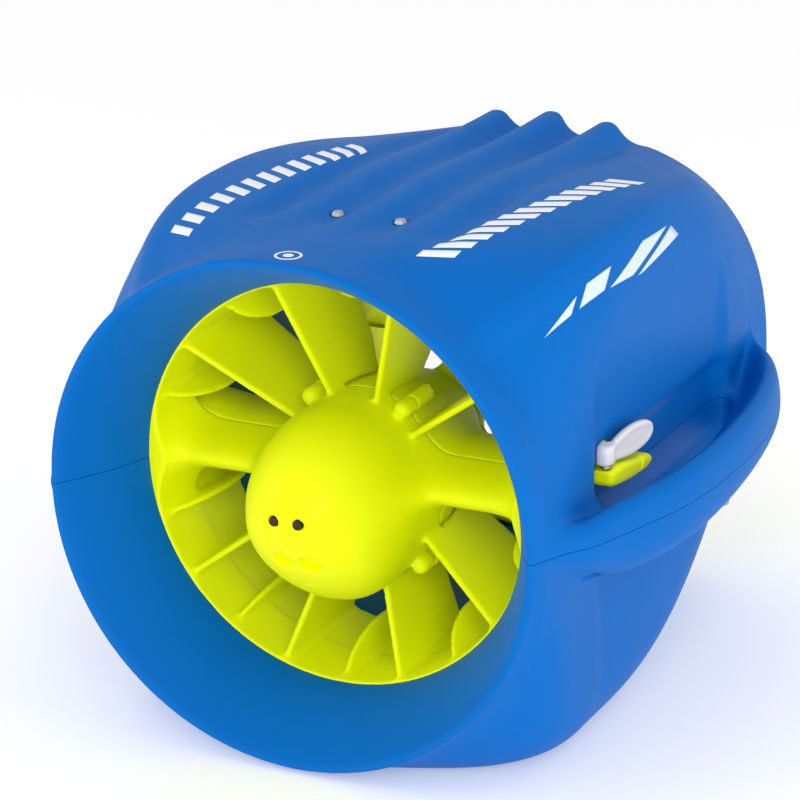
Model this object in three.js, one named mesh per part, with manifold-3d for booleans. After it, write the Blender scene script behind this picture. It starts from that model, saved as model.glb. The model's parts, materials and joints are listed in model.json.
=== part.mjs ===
// Underwater scooter: a ducted pull-along thruster with two grip loops.
// Millimetres, +Z up. The thrust axis runs along +Y from the intake to the outlet.
// The shapes are drawn with the front crest at y = 0 and the thrust axis at z = 0, and
// the whole group is then moved so that its origin is the middle of the box's underside.
import * as THREE from 'three'
import { mergeVertices } from 'three/addons/utils/BufferGeometryUtils.js'
import Module from 'manifold-3d'

const wasm = await Module()
wasm.setup()

// ---------------------------------------------------------------- driving dimensions
const RING = 125 // radius of the front ring's crest; most hull sizes are shares of it
const LENGTH = 306 // front crest to rear rim
const BASE_DEPTH = 127 // thrust axis down to the planed feet
const GAP = 0.3 // clearance left between two pieces that touch
const DUCT = 100 // inner radius of the duct
const WALL = 3.5 // thickness of the hull mouldings

const BAND_START = 52.7 // front edge of the guard's band
const BAND_END = 125 // rear edge of the guard's band
const BAND_WALL = 2.5
const VANES = 10 // evenly spaced; the two level ones are the thick struts
const VANE_THICK = 3

const SEAM = 85 // where the pod's front and rear halves meet
const POD = { halfWidth: 40, halfHeight: 48.4, drop: 9.5, widest: 57.2, noseLength: 56.6 }
const POD_WALL = 3
const POD_END = 162 // rear face of the pod
const STRUT_HALF = 12 // half the struts' thickness
const STRUT_FRONT = 58
const STRUT_REAR = 136

const SHAFT_R = 3
const RUNNING = 0.07 // radial clearance of a turning fit
const PROP_FRONT = 167
const PROP_R = 86
const BLADES = 3

const REAR_GUARD_START = 262
const REAR_GUARD_END = 296

const PIVOT = { x: 124.5, y: 84 } // right trigger's pin, in plan
const TRIGGER_YAW = 6 // degrees that the free trigger stands out from the hull

const SLACK = 0.05 // how far a finished skin may move to lose needless faces

// ---------------------------------------------------------------- small helpers
const radians = THREE.MathUtils.degToRad
const mix = THREE.MathUtils.lerp
const smooth = (from, to, value) => THREE.MathUtils.smoothstep(value, from, to)
const range = (count) => Array.from({ length: count }, (_, i) => i)
const steps = (from, to, count) => range(count + 1).map((i) => mix(from, to, i / count))
const SIDES = [['right', 1], ['left', -1]]

function toSolid(geometry) {
  const plain = geometry.clone()
  plain.deleteAttribute('normal')
  plain.deleteAttribute('uv')
  const merged = mergeVertices(plain, 1e-4)
  return new wasm.Manifold(new wasm.Mesh({
    numProp: 3,
    vertProperties: new Float32Array(merged.attributes.position.array),
    triVerts: new Uint32Array(merged.index.array),
  }))
}

function toGeometry(solid) {
  const mesh = solid.asOriginal().simplify(SLACK).getMesh()
  const geometry = new THREE.BufferGeometry()
  geometry.setAttribute('position', new THREE.BufferAttribute(new Float32Array(mesh.vertProperties), 3))
  geometry.setIndex(new THREE.BufferAttribute(new Uint32Array(mesh.triVerts), 1))
  return welded(geometry)
}

// Joins corners closer than a micrometre, and drops the faces that vanish with them.
function welded(geometry) {
  const joined = mergeVertices(geometry, 1e-3)
  const corners = Array.from(joined.index.array)
  const faces = range(corners.length / 3).map((i) => corners.slice(3 * i, 3 * i + 3))
  joined.setIndex(faces.filter(([a, b, c]) => a !== b && b !== c && c !== a).flat())
  return joined
}

// Closed skin through rings of points; each ring holds the same number of [x, y, z].
// A looped skin joins its last ring to its first, and any other one gets flat end caps.
function loft(rings, looped = false) {
  const count = rings[0].length
  const points = rings.flat()
  const faces = []
  const bands = looped ? rings.length : rings.length - 1
  for (let j = 0; j < bands; j++) {
    const here = j * count
    const next = ((j + 1) % rings.length) * count
    for (let i = 0; i < count; i++) {
      const k = (i + 1) % count
      faces.push([here + i, here + k, next + k], [here + i, next + k, next + i])
    }
  }
  if (!looped) {
    const last = (rings.length - 1) * count
    for (let i = 1; i < count - 1; i++) {
      faces.push([0, i + 1, i], [last, last + i, last + i + 1])
    }
  }
  const at = (i) => new THREE.Vector3(...points[i])
  const volume = faces.reduce((sum, [a, b, c]) => sum + at(a).dot(at(b).cross(at(c))), 0)
  const turned = volume < 0 ? faces.map(([a, b, c]) => [a, c, b]) : faces
  const geometry = new THREE.BufferGeometry()
  geometry.setAttribute('position', new THREE.Float32BufferAttribute(points.flat(), 3))
  geometry.setIndex(turned.flat())
  return geometry
}

const loftSolid = (rings, looped) => toSolid(loft(rings, looped))
const union = (solids) => solids.reduce((whole, solid) => whole.add(solid))
const cut = (solid, tools) => tools.reduce((rest, tool) => rest.subtract(tool), solid)

function boxSolid(low, high) {
  const size = high.map((value, i) => value - low[i])
  const centre = high.map((value, i) => (value + low[i]) / 2)
  return toSolid(new THREE.BoxGeometry(...size).translate(...centre))
}

// The turn that points +Y along a direction.
function turnedTo(along) {
  return new THREE.Quaternion().setFromUnitVectors(new THREE.Vector3(0, 1, 0), along.clone().normalize())
}

// A rod from one point to another, as a geometry.
function rod(from, to, radius, sides = 12, endRadius = radius) {
  const start = new THREE.Vector3(...from)
  const end = new THREE.Vector3(...to)
  const along = end.clone().sub(start)
  const geometry = new THREE.CylinderGeometry(endRadius, radius, along.length(), sides)
  const turn = turnedTo(along)
  return geometry.applyQuaternion(turn).translate(...start.add(end).multiplyScalar(0.5).toArray())
}

const rodSolid = (...rodArguments) => toSolid(rod(...rodArguments))

// A solid turned about the thrust axis from a closed outline of [radius, y] points.
function turned(outline, sides = 32) {
  const loop = [...outline, outline[0]].map(([radius, y]) => new THREE.Vector2(radius, y))
  return new THREE.LatheGeometry(loop, sides)
}

// A solid disc about the thrust axis, from an outline that starts and ends on the axis.
function turnedDisc(outline, sides = 24) {
  return new THREE.LatheGeometry(outline.map(([radius, y]) => new THREE.Vector2(radius, y)), sides)
}

// A machine or self-tapping screw: domed head at `from`, shank towards `to`.
function screw(from, to, headRadius, shankRadius, headHeight) {
  const start = new THREE.Vector3(...from)
  const end = new THREE.Vector3(...to)
  const along = end.clone().sub(start)
  const outline = [
    [0, 0], [headRadius * 0.72, 0], [headRadius, headHeight * 0.55], [headRadius, headHeight],
    [shankRadius, headHeight], [shankRadius, along.length() - shankRadius], [0, along.length()],
  ]
  const turn = turnedTo(along)
  return turnedDisc(outline, 8).applyQuaternion(turn).translate(...from)
}

// The same geometry on the other side of x = 0, with its triangles the right way out.
function mirrorX(geometry) {
  const other = mergeVertices(geometry.clone().scale(-1, 1, 1), 1e-5)
  const corners = Array.from(other.index.array)
  const triangles = range(corners.length / 3)
  other.setIndex(triangles.flatMap((i) => [corners[3 * i], corners[3 * i + 2], corners[3 * i + 1]]))
  return other
}

const onSide = (geometry, side) => (side > 0 ? geometry : mirrorX(geometry))

// ---------------------------------------------------------------- materials
const finish = (color, roughness, metalness = 0) =>
  new THREE.MeshStandardMaterial({ color, roughness, metalness })
const BLUE = finish(0x0a66b5, 0.38)
const YELLOW = finish(0xdce80e, 0.42)
const WHITE = finish(0xd8d6d6, 0.45)
const STEEL = finish(0x9aa3ab, 0.32, 0.9)
const BRASS = finish(0xb08d3c, 0.35, 0.9)
const RUBBER = finish(0x1b1c1e, 0.85)
const FOAM = finish(0xf0f0ea, 0.95)
const CELL = finish(0x2f7f8f, 0.5)
const BOARD = finish(0x14572f, 0.6)
const BLACK = finish(0x202225, 0.55)
const MAGNET = finish(0x8d9094, 0.25, 1)

const scooter = new THREE.Group()

function addPiece(name, geometry, material) {
  const piece = new THREE.Mesh(geometry, material)
  piece.name = name
  scooter.add(piece)
}

// ---------------------------------------------------------------- hull shape
// Everything below takes y in shares of RING, and gives back shares of RING.
const HULL_SIDES = 28
const REAR = LENGTH / RING

// The section is a circle at both ends and a rounded square in between.
const ROUND = 2
const powerAbove = (y) => ROUND + 5.5 * smooth(0.15, 1.1, y) * (1 - smooth(1.2, REAR + 0.3, y))
const powerBelow = (y) => ROUND + 5 * smooth(0.05, 0.65, y) * (1 - smooth(0.9, REAR - 0.2, y))
const hullHalfWidth = (y) =>
  1 + 0.02 * smooth(0, 0.12, y) - 0.035 * smooth(0.12, 0.7, y) - 0.03 * smooth(1.8, REAR, y)
const hullHeight = (y) => 1 - 0.02 * smooth(0, 0.5, y) - 0.1 * smooth(1.2, REAR, y)
const hullDepth = (y) => 1 + 0.035 * smooth(0, 0.35, y) - 0.1 * smooth(1.1, REAR, y)

function hullRing(y, inset) {
  return range(HULL_SIDES).map((i) => {
    const angle = ((i + 0.5) / HULL_SIDES) * 2 * Math.PI
    const above = Math.sin(angle) > 0
    const power = above ? powerAbove(y) : powerBelow(y)
    const width = hullHalfWidth(y) * RING - inset
    const height = (above ? hullHeight(y) : hullDepth(y)) * RING - inset
    const across = Math.abs(Math.cos(angle) / width) ** power
    const up = Math.abs(Math.sin(angle) / height) ** power
    const radius = (across + up) ** (-1 / power)
    return [radius * Math.cos(angle), y * RING, radius * Math.sin(angle)]
  })
}

function roundRing(y, radius) {
  return range(HULL_SIDES).map((i) => {
    const angle = ((i + 0.5) / HULL_SIDES) * 2 * Math.PI
    return [radius * Math.cos(angle), y * RING, radius * Math.sin(angle)]
  })
}

// Radius of the intake's funnel, from the crest back to the guard's band.
const FUNNEL_END = (BAND_START - GAP) / RING
const funnelRadius = (y) => DUCT + 23 * (1 - Math.min(y / FUNNEL_END, 1)) ** 1.5

// Outer edge, crest and underside of the grip wing.
function wingEdge(y) {
  if (y < 0.6) return 1.05 + 0.317 * y - 0.09 * (1 - smooth(0, 0.3, y))
  if (y < 1.2) {
    const t = (y - 0.6) / 0.6
    return 1.24 + 0.19 * (t ** 3 - 2 * t ** 2 + t) + 0.075 * (3 * t ** 2 - 2 * t ** 3)
  }
  return 0.93 + 0.385 * Math.sqrt(1 - ((y - 1.2) / 1.04) ** 2)
}
const wingTop = (y) => 0.03 + 0.115 * (1 - Math.exp(-y / 0.55))
const wingBottom = (y) => -0.03 - 0.2 * smooth(-0.1, 0.6, y) * (1 - 0.45 * smooth(0.8, 1.9, y))
const wingRoot = (y) => Math.max(0.87, funnelRadius(y) / RING + 0.03)

function wingRing(y, inset) {
  const edge = wingEdge(y) - inset
  const top = wingTop(y) - inset
  const bottom = wingBottom(y) + inset
  const root = wingRoot(y)
  const outline = [
    [root, top * 0.3], [mix(root, edge, 0.35), top * 0.15], [edge - 0.1, top * 0.75], [edge - 0.05, top],
    [edge - 0.012, top * 0.65], [edge, 0], [edge - 0.025, bottom * 0.6], [edge - 0.08, bottom * 0.92],
    [mix(root, edge, 0.4), bottom], [root, bottom],
  ]
  return outline.map(([x, z]) => [x * RING, y * RING, z * RING])
}

// Plan of the hand slot, grown by `grow` for the wall around it, as an upright prism.
function slotPrism(grow, halfHeight) {
  const inner = 0.936 * RING - grow
  const outer = (y) => (wingEdge(y) - 0.197) * RING + grow
  const front = 0.6 * RING - grow
  const back = 1.93 * RING + grow
  const plan = new THREE.Shape()
  plan.moveTo(inner, front + 5)
  plan.lineTo(inner, back - 20)
  plan.bezierCurveTo(inner, back - 8, inner + 2, back, inner + 7, back)
  plan.quadraticCurveTo(outer(1.8), back, outer(1.7), 1.7 * RING)
  plan.splineThru([1.5, 1.25, 1.0].map((y) => new THREE.Vector2(outer(y), y * RING)))
  plan.quadraticCurveTo(outer(0.78), 0.7 * RING, inner + 10, front)
  plan.quadraticCurveTo(inner, front, inner, front + 5)
  const settings = { depth: 2 * halfHeight, bevelEnabled: false, curveSegments: 3 }
  const geometry = new THREE.ExtrudeGeometry(plan, settings)
  return geometry.translate(0, 0, -halfHeight)
}

// ---------------------------------------------------------------- hull shells
const OUTER_STATIONS = [0.02, 0.14, 0.32, 0.6, 1.1, 1.6, 2.0, REAR - 0.03]
const FUNNEL_STATIONS = [FUNNEL_END, 0.24, 0.1, 0.012]
const POCKET_R = (DUCT + BAND_WALL + GAP) / Math.cos(Math.PI / HULL_SIDES)
const CAVITY_R = POCKET_R + WALL
const SLOT_HALF_HEIGHT = 62
const CAVITY_START = 0.3
const CAVITY_END = 2.1

const ringBody = () => loftSolid([
  roundRing(0, RING - 3.5),
  ...OUTER_STATIONS.map((y) => hullRing(y, 0)),
  hullRing(REAR, 2.5),
  roundRing(REAR, DUCT + 4),
  roundRing(REAR - 0.03, DUCT + 1),
  roundRing(1.9, DUCT),
  roundRing((BAND_END + GAP) / RING, DUCT),
  roundRing((BAND_END + GAP) / RING, POCKET_R),
  roundRing(FUNNEL_END, POCKET_R),
  ...FUNNEL_STATIONS.map((y) => roundRing(y, funnelRadius(y))),
], true)

// The space inside the double wall; `inset` leaves the wall, `back` the duct wall.
function ringCavity(inset, back) {
  const outside = [CAVITY_START, 0.6, 1.1, 1.6, CAVITY_END].map((y) => hullRing(y, inset))
  const insideRadius = (y) => Math.max(back, funnelRadius(y) + WALL)
  const inside = [CAVITY_END, 0.5, CAVITY_START].map((y) => roundRing(y, insideRadius(y)))
  return loftSolid([...outside, ...inside], true)
}

const WING_STATIONS = [0.15, 0.3, 0.57, 0.9, 1.3, 1.7, 2.0, 2.18]
const WING_CAVITY_STATIONS = [0.36, 0.57, 0.9, 1.3, 1.7, 2.0]
const wing = (side) => toSolid(onSide(loft(WING_STATIONS.map((y) => wingRing(y, 0))), side))
function wingCavity(side) {
  const rings = WING_CAVITY_STATIONS.map((y) => wingRing(y, WALL / RING))
  return toSolid(onSide(loft(rings), side))
}
const slot = (side, grow, halfHeight) => toSolid(onSide(slotPrism(grow, halfHeight), side))

// Three ridges along the top, level while the hull falls away, with rounded rear ends.
const RIDGES = [[0, 0.95], [-0.25, 0.93], [0.25, 0.93]]
const RIDGE_HEIGHT = 0.13
function ridge([x, top]) {
  const stations = [0.45, 1.0, 1.6, 2.2, REAR - 0.05, REAR - 0.005]
  return loftSolid(stations.map((y) => {
    const height = RIDGE_HEIGHT - 0.05 * smooth(REAR - 0.12, REAR, y)
    return range(8).map((i) => {
      const angle = (i / 7) * Math.PI
      const rise = height * Math.sin(angle) ** 0.7
      return [(x + 0.062 * Math.cos(angle)) * RING, y * RING, (top - RIDGE_HEIGHT + rise) * RING]
    })
  }))
}

// Hull screws come up from below; guard screws go down through the top of the duct.
const HULL_SCREWS = [[131, 50], [156, 150], [134, 252]]
const HULL_SCREW = { headZ: -20, tipZ: 4.5, shankR: 1.9, headR: 3.6, bossR: 5.6 }
const GUARD_SCREW = { x: 16.5, y: 94, topZ: 120.6, seatZ: 117.2, tipZ: 100.8, shankR: 1.8, headR: 3.4 }
const REAR_SCREW_ANGLES = [45, 135, 225, 315]
const REAR_SCREW_Y = (REAR_GUARD_START + REAR_GUARD_END) / 2
const REAR_SCREW_R = 1.6
const LEAD_Y = 78 // the trigger leads cross the duct here, inside the struts
const LEAD_HOLE = 3.2

const polar = (angle, radius, y) => [radius * Math.cos(radians(angle)), y, radius * Math.sin(radians(angle))]

// Upright eight-sided rods on one side of the hull, along a hull screw or a guard screw.
const uprightRod = (side, [x, y], fromZ, toZ, radius) => (
  rodSolid([side * x, y, fromZ], [side * x, y, toZ], radius, 8))
const alongGuardScrew = (side, fromZ, toZ, radius) => (
  uprightRod(side, [GUARD_SCREW.x, GUARD_SCREW.y], fromZ, toZ, radius))
const leadHole = () => rodSolid([-110, LEAD_Y, 0], [110, LEAD_Y, 0], LEAD_HOLE, 8)

function hullSolid() {
  const outside = union([ringBody(), ...RIDGES.map(ridge), ...SIDES.map(([, side]) => wing(side))])
  const slots = SIDES.map(([, side]) => slot(side, 0, SLOT_HALF_HEIGHT))
  const kept = SIDES.flatMap(([, side]) => [
    slot(side, WALL, SLOT_HALF_HEIGHT + WALL),
    ...HULL_SCREWS.map((place) => uprightRod(side, place, -40, 40, HULL_SCREW.bossR)),
    alongGuardScrew(side, 95, 130, 6),
  ])
  const cavities = union([ringCavity(WALL + 0.5, CAVITY_R), ...SIDES.map(([, side]) => wingCavity(side))])
  const hollow = cut(cavities, kept)
  const drilled = SIDES.flatMap(([, side]) => [
    ...HULL_SCREWS.flatMap((place) => [
      uprightRod(side, place, -40, HULL_SCREW.headZ + 3, HULL_SCREW.headR + GAP),
      uprightRod(side, place, -40, HULL_SCREW.tipZ + 0.5, HULL_SCREW.shankR + GAP),
    ]),
    alongGuardScrew(side, 95, 130, GUARD_SCREW.shankR + GAP),
    alongGuardScrew(side, GUARD_SCREW.seatZ, 130, GUARD_SCREW.headR + GAP),
  ])
  const rearHoles = REAR_SCREW_ANGLES.map((angle) => (
    rodSolid(polar(angle, 95, REAR_SCREW_Y), polar(angle, 106.5, REAR_SCREW_Y), REAR_SCREW_R + GAP, 8)))
  return cut(outside, [...slots, hollow, ...drilled, ...rearHoles, leadHole()])
}

const hull = hullSolid()
const FAR = 400
const above = boxSolid([-FAR, -FAR, GAP / 2], [FAR, FAR, FAR])
const below = boxSolid([-FAR, -FAR, -BASE_DEPTH], [FAR, FAR, -GAP / 2])
addPiece('upper_shell', toGeometry(hull.intersect(above)), BLUE)
addPiece('lower_shell', toGeometry(hull.intersect(below)), BLUE)

// ---------------------------------------------------------------- foam floats
const FLOAT_CLEAR = 26 // the floats stay this far from the parting plane, clear of the leads
function float(low, high) {
  const filled = ringCavity(WALL + 1.6, CAVITY_R + 1.2)
  const slab = boxSolid([-FAR, -FAR, low], [FAR, FAR, high])
  const kept = [
    ...SIDES.map(([, side]) => slot(side, WALL + 1, SLOT_HALF_HEIGHT + WALL + 1)),
    ...SIDES.map(([, side]) => alongGuardScrew(side, 90, 130, 7.2)),
    ...REAR_SCREW_ANGLES.map((angle) => (
      rodSolid(polar(angle, 95, REAR_SCREW_Y), polar(angle, 112, REAR_SCREW_Y), 4, 8))),
  ]
  return toGeometry(cut(filled.intersect(slab), kept))
}
addPiece('upper_float', float(FLOAT_CLEAR, FAR), FOAM)
addPiece('lower_float', float(-FAR, -FLOAT_CLEAR), FOAM)

// ---------------------------------------------------------------- hull fasteners
let hullScrews = 0
for (const [, side] of SIDES) {
  for (const [x, y] of HULL_SCREWS) {
    const { headZ, tipZ, shankR, headR } = HULL_SCREW
    hullScrews += 1
    const body = screw([side * x, y, headZ], [side * x, y, tipZ], headR, shankR, 2.6)
    addPiece(`hull_screw_${hullScrews}`, body, STEEL)
  }
}
for (const [name, side] of SIDES) {
  const { x, y, topZ, tipZ, shankR, headR } = GUARD_SCREW
  addPiece(`top_screw_${name}`, screw([side * x, y, topZ], [side * x, y, tipZ], headR, shankR, 3), STEEL)
}

// ---------------------------------------------------------------- pod: nose half, rear half
const POD_SIDES = 20
const ellipseRing = (y, halfWidth, halfHeight, drop) => range(POD_SIDES).map((i) => {
  const angle = ((i + 0.5) / POD_SIDES) * 2 * Math.PI
  return [halfWidth * Math.cos(angle), y, halfHeight * Math.sin(angle) - drop]
})

// The nose is half an ellipsoid that hangs below the shaft line. Its chin is planed off at a slant.
const CHIN = { y: 12.4, z: -24.3, slant: 40 }
function chinTool(inset) {
  const tool = new THREE.BoxGeometry(FAR, FAR, FAR).translate(0, -FAR / 2 + inset, 0)
  return toSolid(tool.rotateX(radians(CHIN.slant)).translate(0, CHIN.y, CHIN.z))
}

function noseSolid(inset, rear) {
  const length = POD.noseLength - inset
  const tips = [0.04, 0.12, 0.25, 0.42, 0.62, 0.82, 1].map((share) => {
    const y = POD.widest - length * (1 - share)
    const swell = Math.sqrt(1 - (1 - share) ** 2)
    return ellipseRing(y, (POD.halfWidth - inset) * swell, (POD.halfHeight - inset) * swell, POD.drop)
  })
  const widest = ellipseRing(rear, POD.halfWidth - inset, POD.halfHeight - inset, POD.drop)
  const whole = loftSolid([...tips, widest])
  return whole.subtract(chinTool(inset))
}

// The rear half narrows from the seam's ellipse to a circle on the thrust axis.
// Each station holds y, half width, half height and drop.
const POD_STATIONS = [
  [70, POD.halfWidth, POD.halfHeight, POD.drop], [SEAM, POD.halfWidth, POD.halfHeight, POD.drop],
  [100, 39.4, 47.2, 9.2], [120, 36, 42, 7], [140, 30.5, 33.5, 3.5], [152, 26, 27, 1], [159, 21.5, 21.5, 0],
  [POD_END, 17, 17, 0], [190, 17, 17, 0],
]
function podSection(y, grow) {
  const next = POD_STATIONS.findIndex(([at]) => at >= y)
  const [from, to] = [POD_STATIONS[Math.max(next - 1, 0)], POD_STATIONS[next]]
  const share = to[0] === from[0] ? 0 : (y - from[0]) / (to[0] - from[0])
  const [width, height, drop] = [1, 2, 3].map((i) => mix(from[i], to[i], share))
  return ellipseRing(y, width + grow, height + grow, drop)
}
const podRearSolid = (grow, stations) => loftSolid(stations.map((y) => podSection(y, grow)))

const STRUT_CENTRE = (STRUT_FRONT + STRUT_REAR) / 2
// A level strut: its section is a long rounded wing, and it flares where it meets the band.
function strutSolid(side, outer) {
  const stations = [[20, 1.12], [44, 1], [78, 1], [92, 1.12], [outer, 1.3]]
  return toSolid(onSide(loft(stations.map(([x, swell]) => range(14).map((i) => {
    const angle = ((i + 0.5) / 14) * 2 * Math.PI
    const chord = ((STRUT_REAR - STRUT_FRONT) / 2) * Math.cos(angle)
    const thick = STRUT_HALF * swell * Math.sign(Math.sin(angle)) * Math.abs(Math.sin(angle)) ** 0.8
    return [x, STRUT_CENTRE + chord, thick]
  }))), side))
}

const bossAngles = [54, 126, 234, 306]
const BOSS_R = 4.3
const BOSS_FRONT = 71.5
const BOSS_REAR = 105
// Distance from the thrust axis to the pod's surface at an angle, plus what the boss stands out.
function bossDistance(angle) {
  const across = Math.cos(radians(angle)) / POD.halfWidth
  const up = Math.sin(radians(angle)) / POD.halfHeight
  const shift = POD.drop / POD.halfHeight
  const a = across ** 2 + up ** 2
  const b = up * shift
  const surface = (-b + Math.sqrt(b ** 2 - a * (shift ** 2 - 1))) / a
  return surface + 3.4
}
const bossAt = (angle, y) => polar(angle, bossDistance(angle), y)
const POD_SCREW = { head: 108, seat: 102, tip: 74, shankR: 1.5, headR: 3 }

// Radial blade in the plane through the thrust axis, from [radius, y] corners.
function radialBlade(angle, corners, thickness) {
  const shape = new THREE.Shape(corners.map(([radius, y]) => new THREE.Vector2(radius, y)))
  const geometry = new THREE.ExtrudeGeometry(shape, { depth: thickness, bevelEnabled: false })
  geometry.translate(0, 0, -thickness / 2)
  return toSolid(geometry.rotateY(-radians(angle)))
}

const bandInside = DUCT + 0.6
const vaneAngles = range(VANES).map((i) => i * (360 / VANES)).filter((angle) => angle % 180 !== 0)
const vaneCorners = [[24, 72], [bandInside, 56], [bandInside, 122], [70, 124], [24, 118]]
const tabCorners = [
  [bandInside, 62], ...range(7).map((i) => {
    const turn = (i + 0.5) / 7 * Math.PI
    return [DUCT - 17 * Math.sin(turn) ** 0.8, 92 - 29 * Math.cos(turn)]
  }), [bandInside, 122],
]
const band = turned([
  [DUCT, BAND_START], [DUCT + BAND_WALL, BAND_START], [DUCT + BAND_WALL, BAND_END], [DUCT, BAND_END],
], 40)

function frontGuard() {
  const front = boxSolid([-FAR, -FAR, -FAR], [FAR, SEAM - GAP / 2, FAR])
  const bossRod = (angle, from, to, radius) => rodSolid(bossAt(angle, from), bossAt(angle, to), radius, 10)
  const bosses = bossAngles.map((angle) => bossRod(angle, BOSS_FRONT, SEAM - GAP / 2, BOSS_R))
  const nose = union([noseSolid(0, SEAM - GAP / 2), ...bosses])
  const struts = SIDES.map(([, side]) => strutSolid(side, bandInside).intersect(front))
  const vanes = vaneAngles.map((angle) => radialBlade(angle, vaneCorners, VANE_THICK))
  const tabs = range(VANES).map((i) => radialBlade((i + 0.5) * (360 / VANES), tabCorners, 2.4))
  const clearance = [
    podRearSolid(0.8, [SEAM - GAP / 2, 100, 120, 140]),
    ...bossAngles.map((angle) => bossRod(angle, SEAM - GAP / 2, 130, BOSS_R + 1)),
  ]
  const bladed = cut(union([toSolid(band), ...vanes, ...tabs]), clearance)
  const whole = union([nose, ...struts, bladed])
  return cut(whole, [
    cut(noseSolid(POD_WALL, SEAM + 5), tetherPockets(2.2)),
    leadHole(),
    ...bossAngles.map((angle) => bossRod(angle, POD_SCREW.tip - 1, SEAM + 5, POD_SCREW.shankR + GAP)),
    ...SIDES.map(([, side]) => alongGuardScrew(side, 90, 110, GUARD_SCREW.shankR + GAP)),
    ...contactPlaces.map((place) => rodSolid(place(-6), place(12), CONTACT_R + GAP, 12)),
    ...tetherPockets(0),
  ])
}

// Two charging contacts side by side on the nose, and a bar between two pockets to clip a tether to.
const CONTACT_R = 2.3
const contactPlaces = SIDES.map(([, side]) => (y) => [side * 6.2, y, -1])
const BAR_HALF = 1.8
const POCKET = { x: 7, y: 11.8, z: CHIN.z, halfWide: 5, deep: 6.5, halfHigh: 4.2 }

// The two pockets, grown by `grow` for the skin behind them.
function tetherPockets(grow) {
  const { x, y, z, halfWide, deep, halfHigh } = POCKET
  const beside = boxSolid([BAR_HALF - grow, -FAR, -FAR], [FAR, FAR, FAR])
  const ball = new THREE.SphereGeometry(1, 12, 8).scale(halfWide + grow, deep + grow, halfHigh + grow)
  const pocket = toSolid(ball.translate(x, y, z)).intersect(beside)
  return [pocket, pocket.mirror([1, 0, 0])]
}
addPiece('front_guard', toGeometry(frontGuard()), YELLOW)

function podRear() {
  const back = boxSolid([-FAR, SEAM + GAP / 2, -FAR], [FAR, FAR, FAR])
  const start = SEAM + GAP / 2
  const bosses = bossAngles.map((angle) =>
    rodSolid(bossAt(angle, start), bossAt(angle, BOSS_REAR), BOSS_R, 10))
  const insideDuct = rodSolid([0, 0, 0], [0, LENGTH, 0], DUCT - 0.9, 48)
  const struts = SIDES.map(([, side]) => strutSolid(side, DUCT).intersect(back).intersect(insideDuct))
  const whole = union([podRearSolid(0, [start, 100, 120, 140, 152, 159, POD_END]), ...bosses, ...struts])
  return cut(whole, [
    podRearSolid(-POD_WALL, [SEAM - 2, 100, 120, 140, 148.7]),
    rodSolid([0, 140, 0], [0, 156.7, 0], 10.3, 20),
    rodSolid([0, 150, 0], [0, 170, 0], 8.3, 20),
    ...bossAngles.flatMap((angle) => [
      rodSolid(bossAt(angle, SEAM - 5), bossAt(angle, 120), POD_SCREW.shankR + GAP, 8),
      rodSolid(bossAt(angle, POD_SCREW.seat), bossAt(angle, 125), POD_SCREW.headR + GAP, 8),
    ]),
  ])
}
addPiece('pod_rear', toGeometry(podRear()), YELLOW)

// The seal sits just inside the seam, against both halves.
const sealRing = (y, inset) => ellipseRing(y, POD.halfWidth - inset, POD.halfHeight - inset, POD.drop)
const sealFrom = SEAM - 1.6
const sealTo = SEAM + 1.6
const sealOutside = POD_WALL + 2 * GAP
addPiece('pod_seal', loft([
  sealRing(sealFrom, sealOutside), sealRing(sealTo, sealOutside), sealRing(sealTo, sealOutside + 2),
  sealRing(sealFrom, sealOutside + 2),
], true), RUBBER)

for (const [i, angle] of bossAngles.entries()) {
  const { head, tip, shankR, headR } = POD_SCREW
  const body = screw(bossAt(angle, head - 3.5), bossAt(angle, tip), headR, shankR, 2.4)
  addPiece(`pod_screw_${i + 1}`, body, STEEL)
}
for (const [i, [name]] of SIDES.entries()) {
  addPiece(`charge_contact_${name}`, rod(contactPlaces[i](3.2), contactPlaces[i](9), CONTACT_R, 12), BRASS)
}

// ---------------------------------------------------------------- battery and electronics
const CELL_R = 9.1
const CELL_FROM = 32
const CELL_TO = 82
const cellRows = [-19, 0, 19]
const cellPlaces = cellRows.flatMap((z) => [[-9.6, z - POD.drop], [9.6, z - POD.drop]])
for (const [i, [x, z]] of cellPlaces.entries()) {
  addPiece(`battery_cell_${i + 1}`, rod([x, CELL_FROM, z], [x, CELL_TO, z], CELL_R, 16), CELL)
}
function roundedPlate(halfWidth, halfHeight, corner, y, thickness, drop) {
  const plan = new THREE.Shape()
  plan.moveTo(halfWidth - corner, -halfHeight)
  plan.quadraticCurveTo(halfWidth, -halfHeight, halfWidth, -halfHeight + corner)
  plan.lineTo(halfWidth, halfHeight - corner)
  plan.quadraticCurveTo(halfWidth, halfHeight, halfWidth - corner, halfHeight)
  plan.lineTo(-halfWidth + corner, halfHeight)
  plan.quadraticCurveTo(-halfWidth, halfHeight, -halfWidth, halfHeight - corner)
  plan.lineTo(-halfWidth, -halfHeight + corner)
  plan.quadraticCurveTo(-halfWidth, -halfHeight, -halfWidth + corner, -halfHeight)
  const settings = { depth: thickness, bevelEnabled: false, curveSegments: 4 }
  const geometry = new THREE.ExtrudeGeometry(plan, settings)
  return geometry.rotateX(Math.PI / 2).translate(0, y + thickness, -drop)
}
addPiece('battery_holder_front', roundedPlate(17, 26, 9, CELL_FROM - 2.9, 2.6, POD.drop), BLACK)
addPiece('battery_holder_rear', roundedPlate(19, 28.5, 9, CELL_TO + GAP, 2.6, POD.drop), BLACK)

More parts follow.
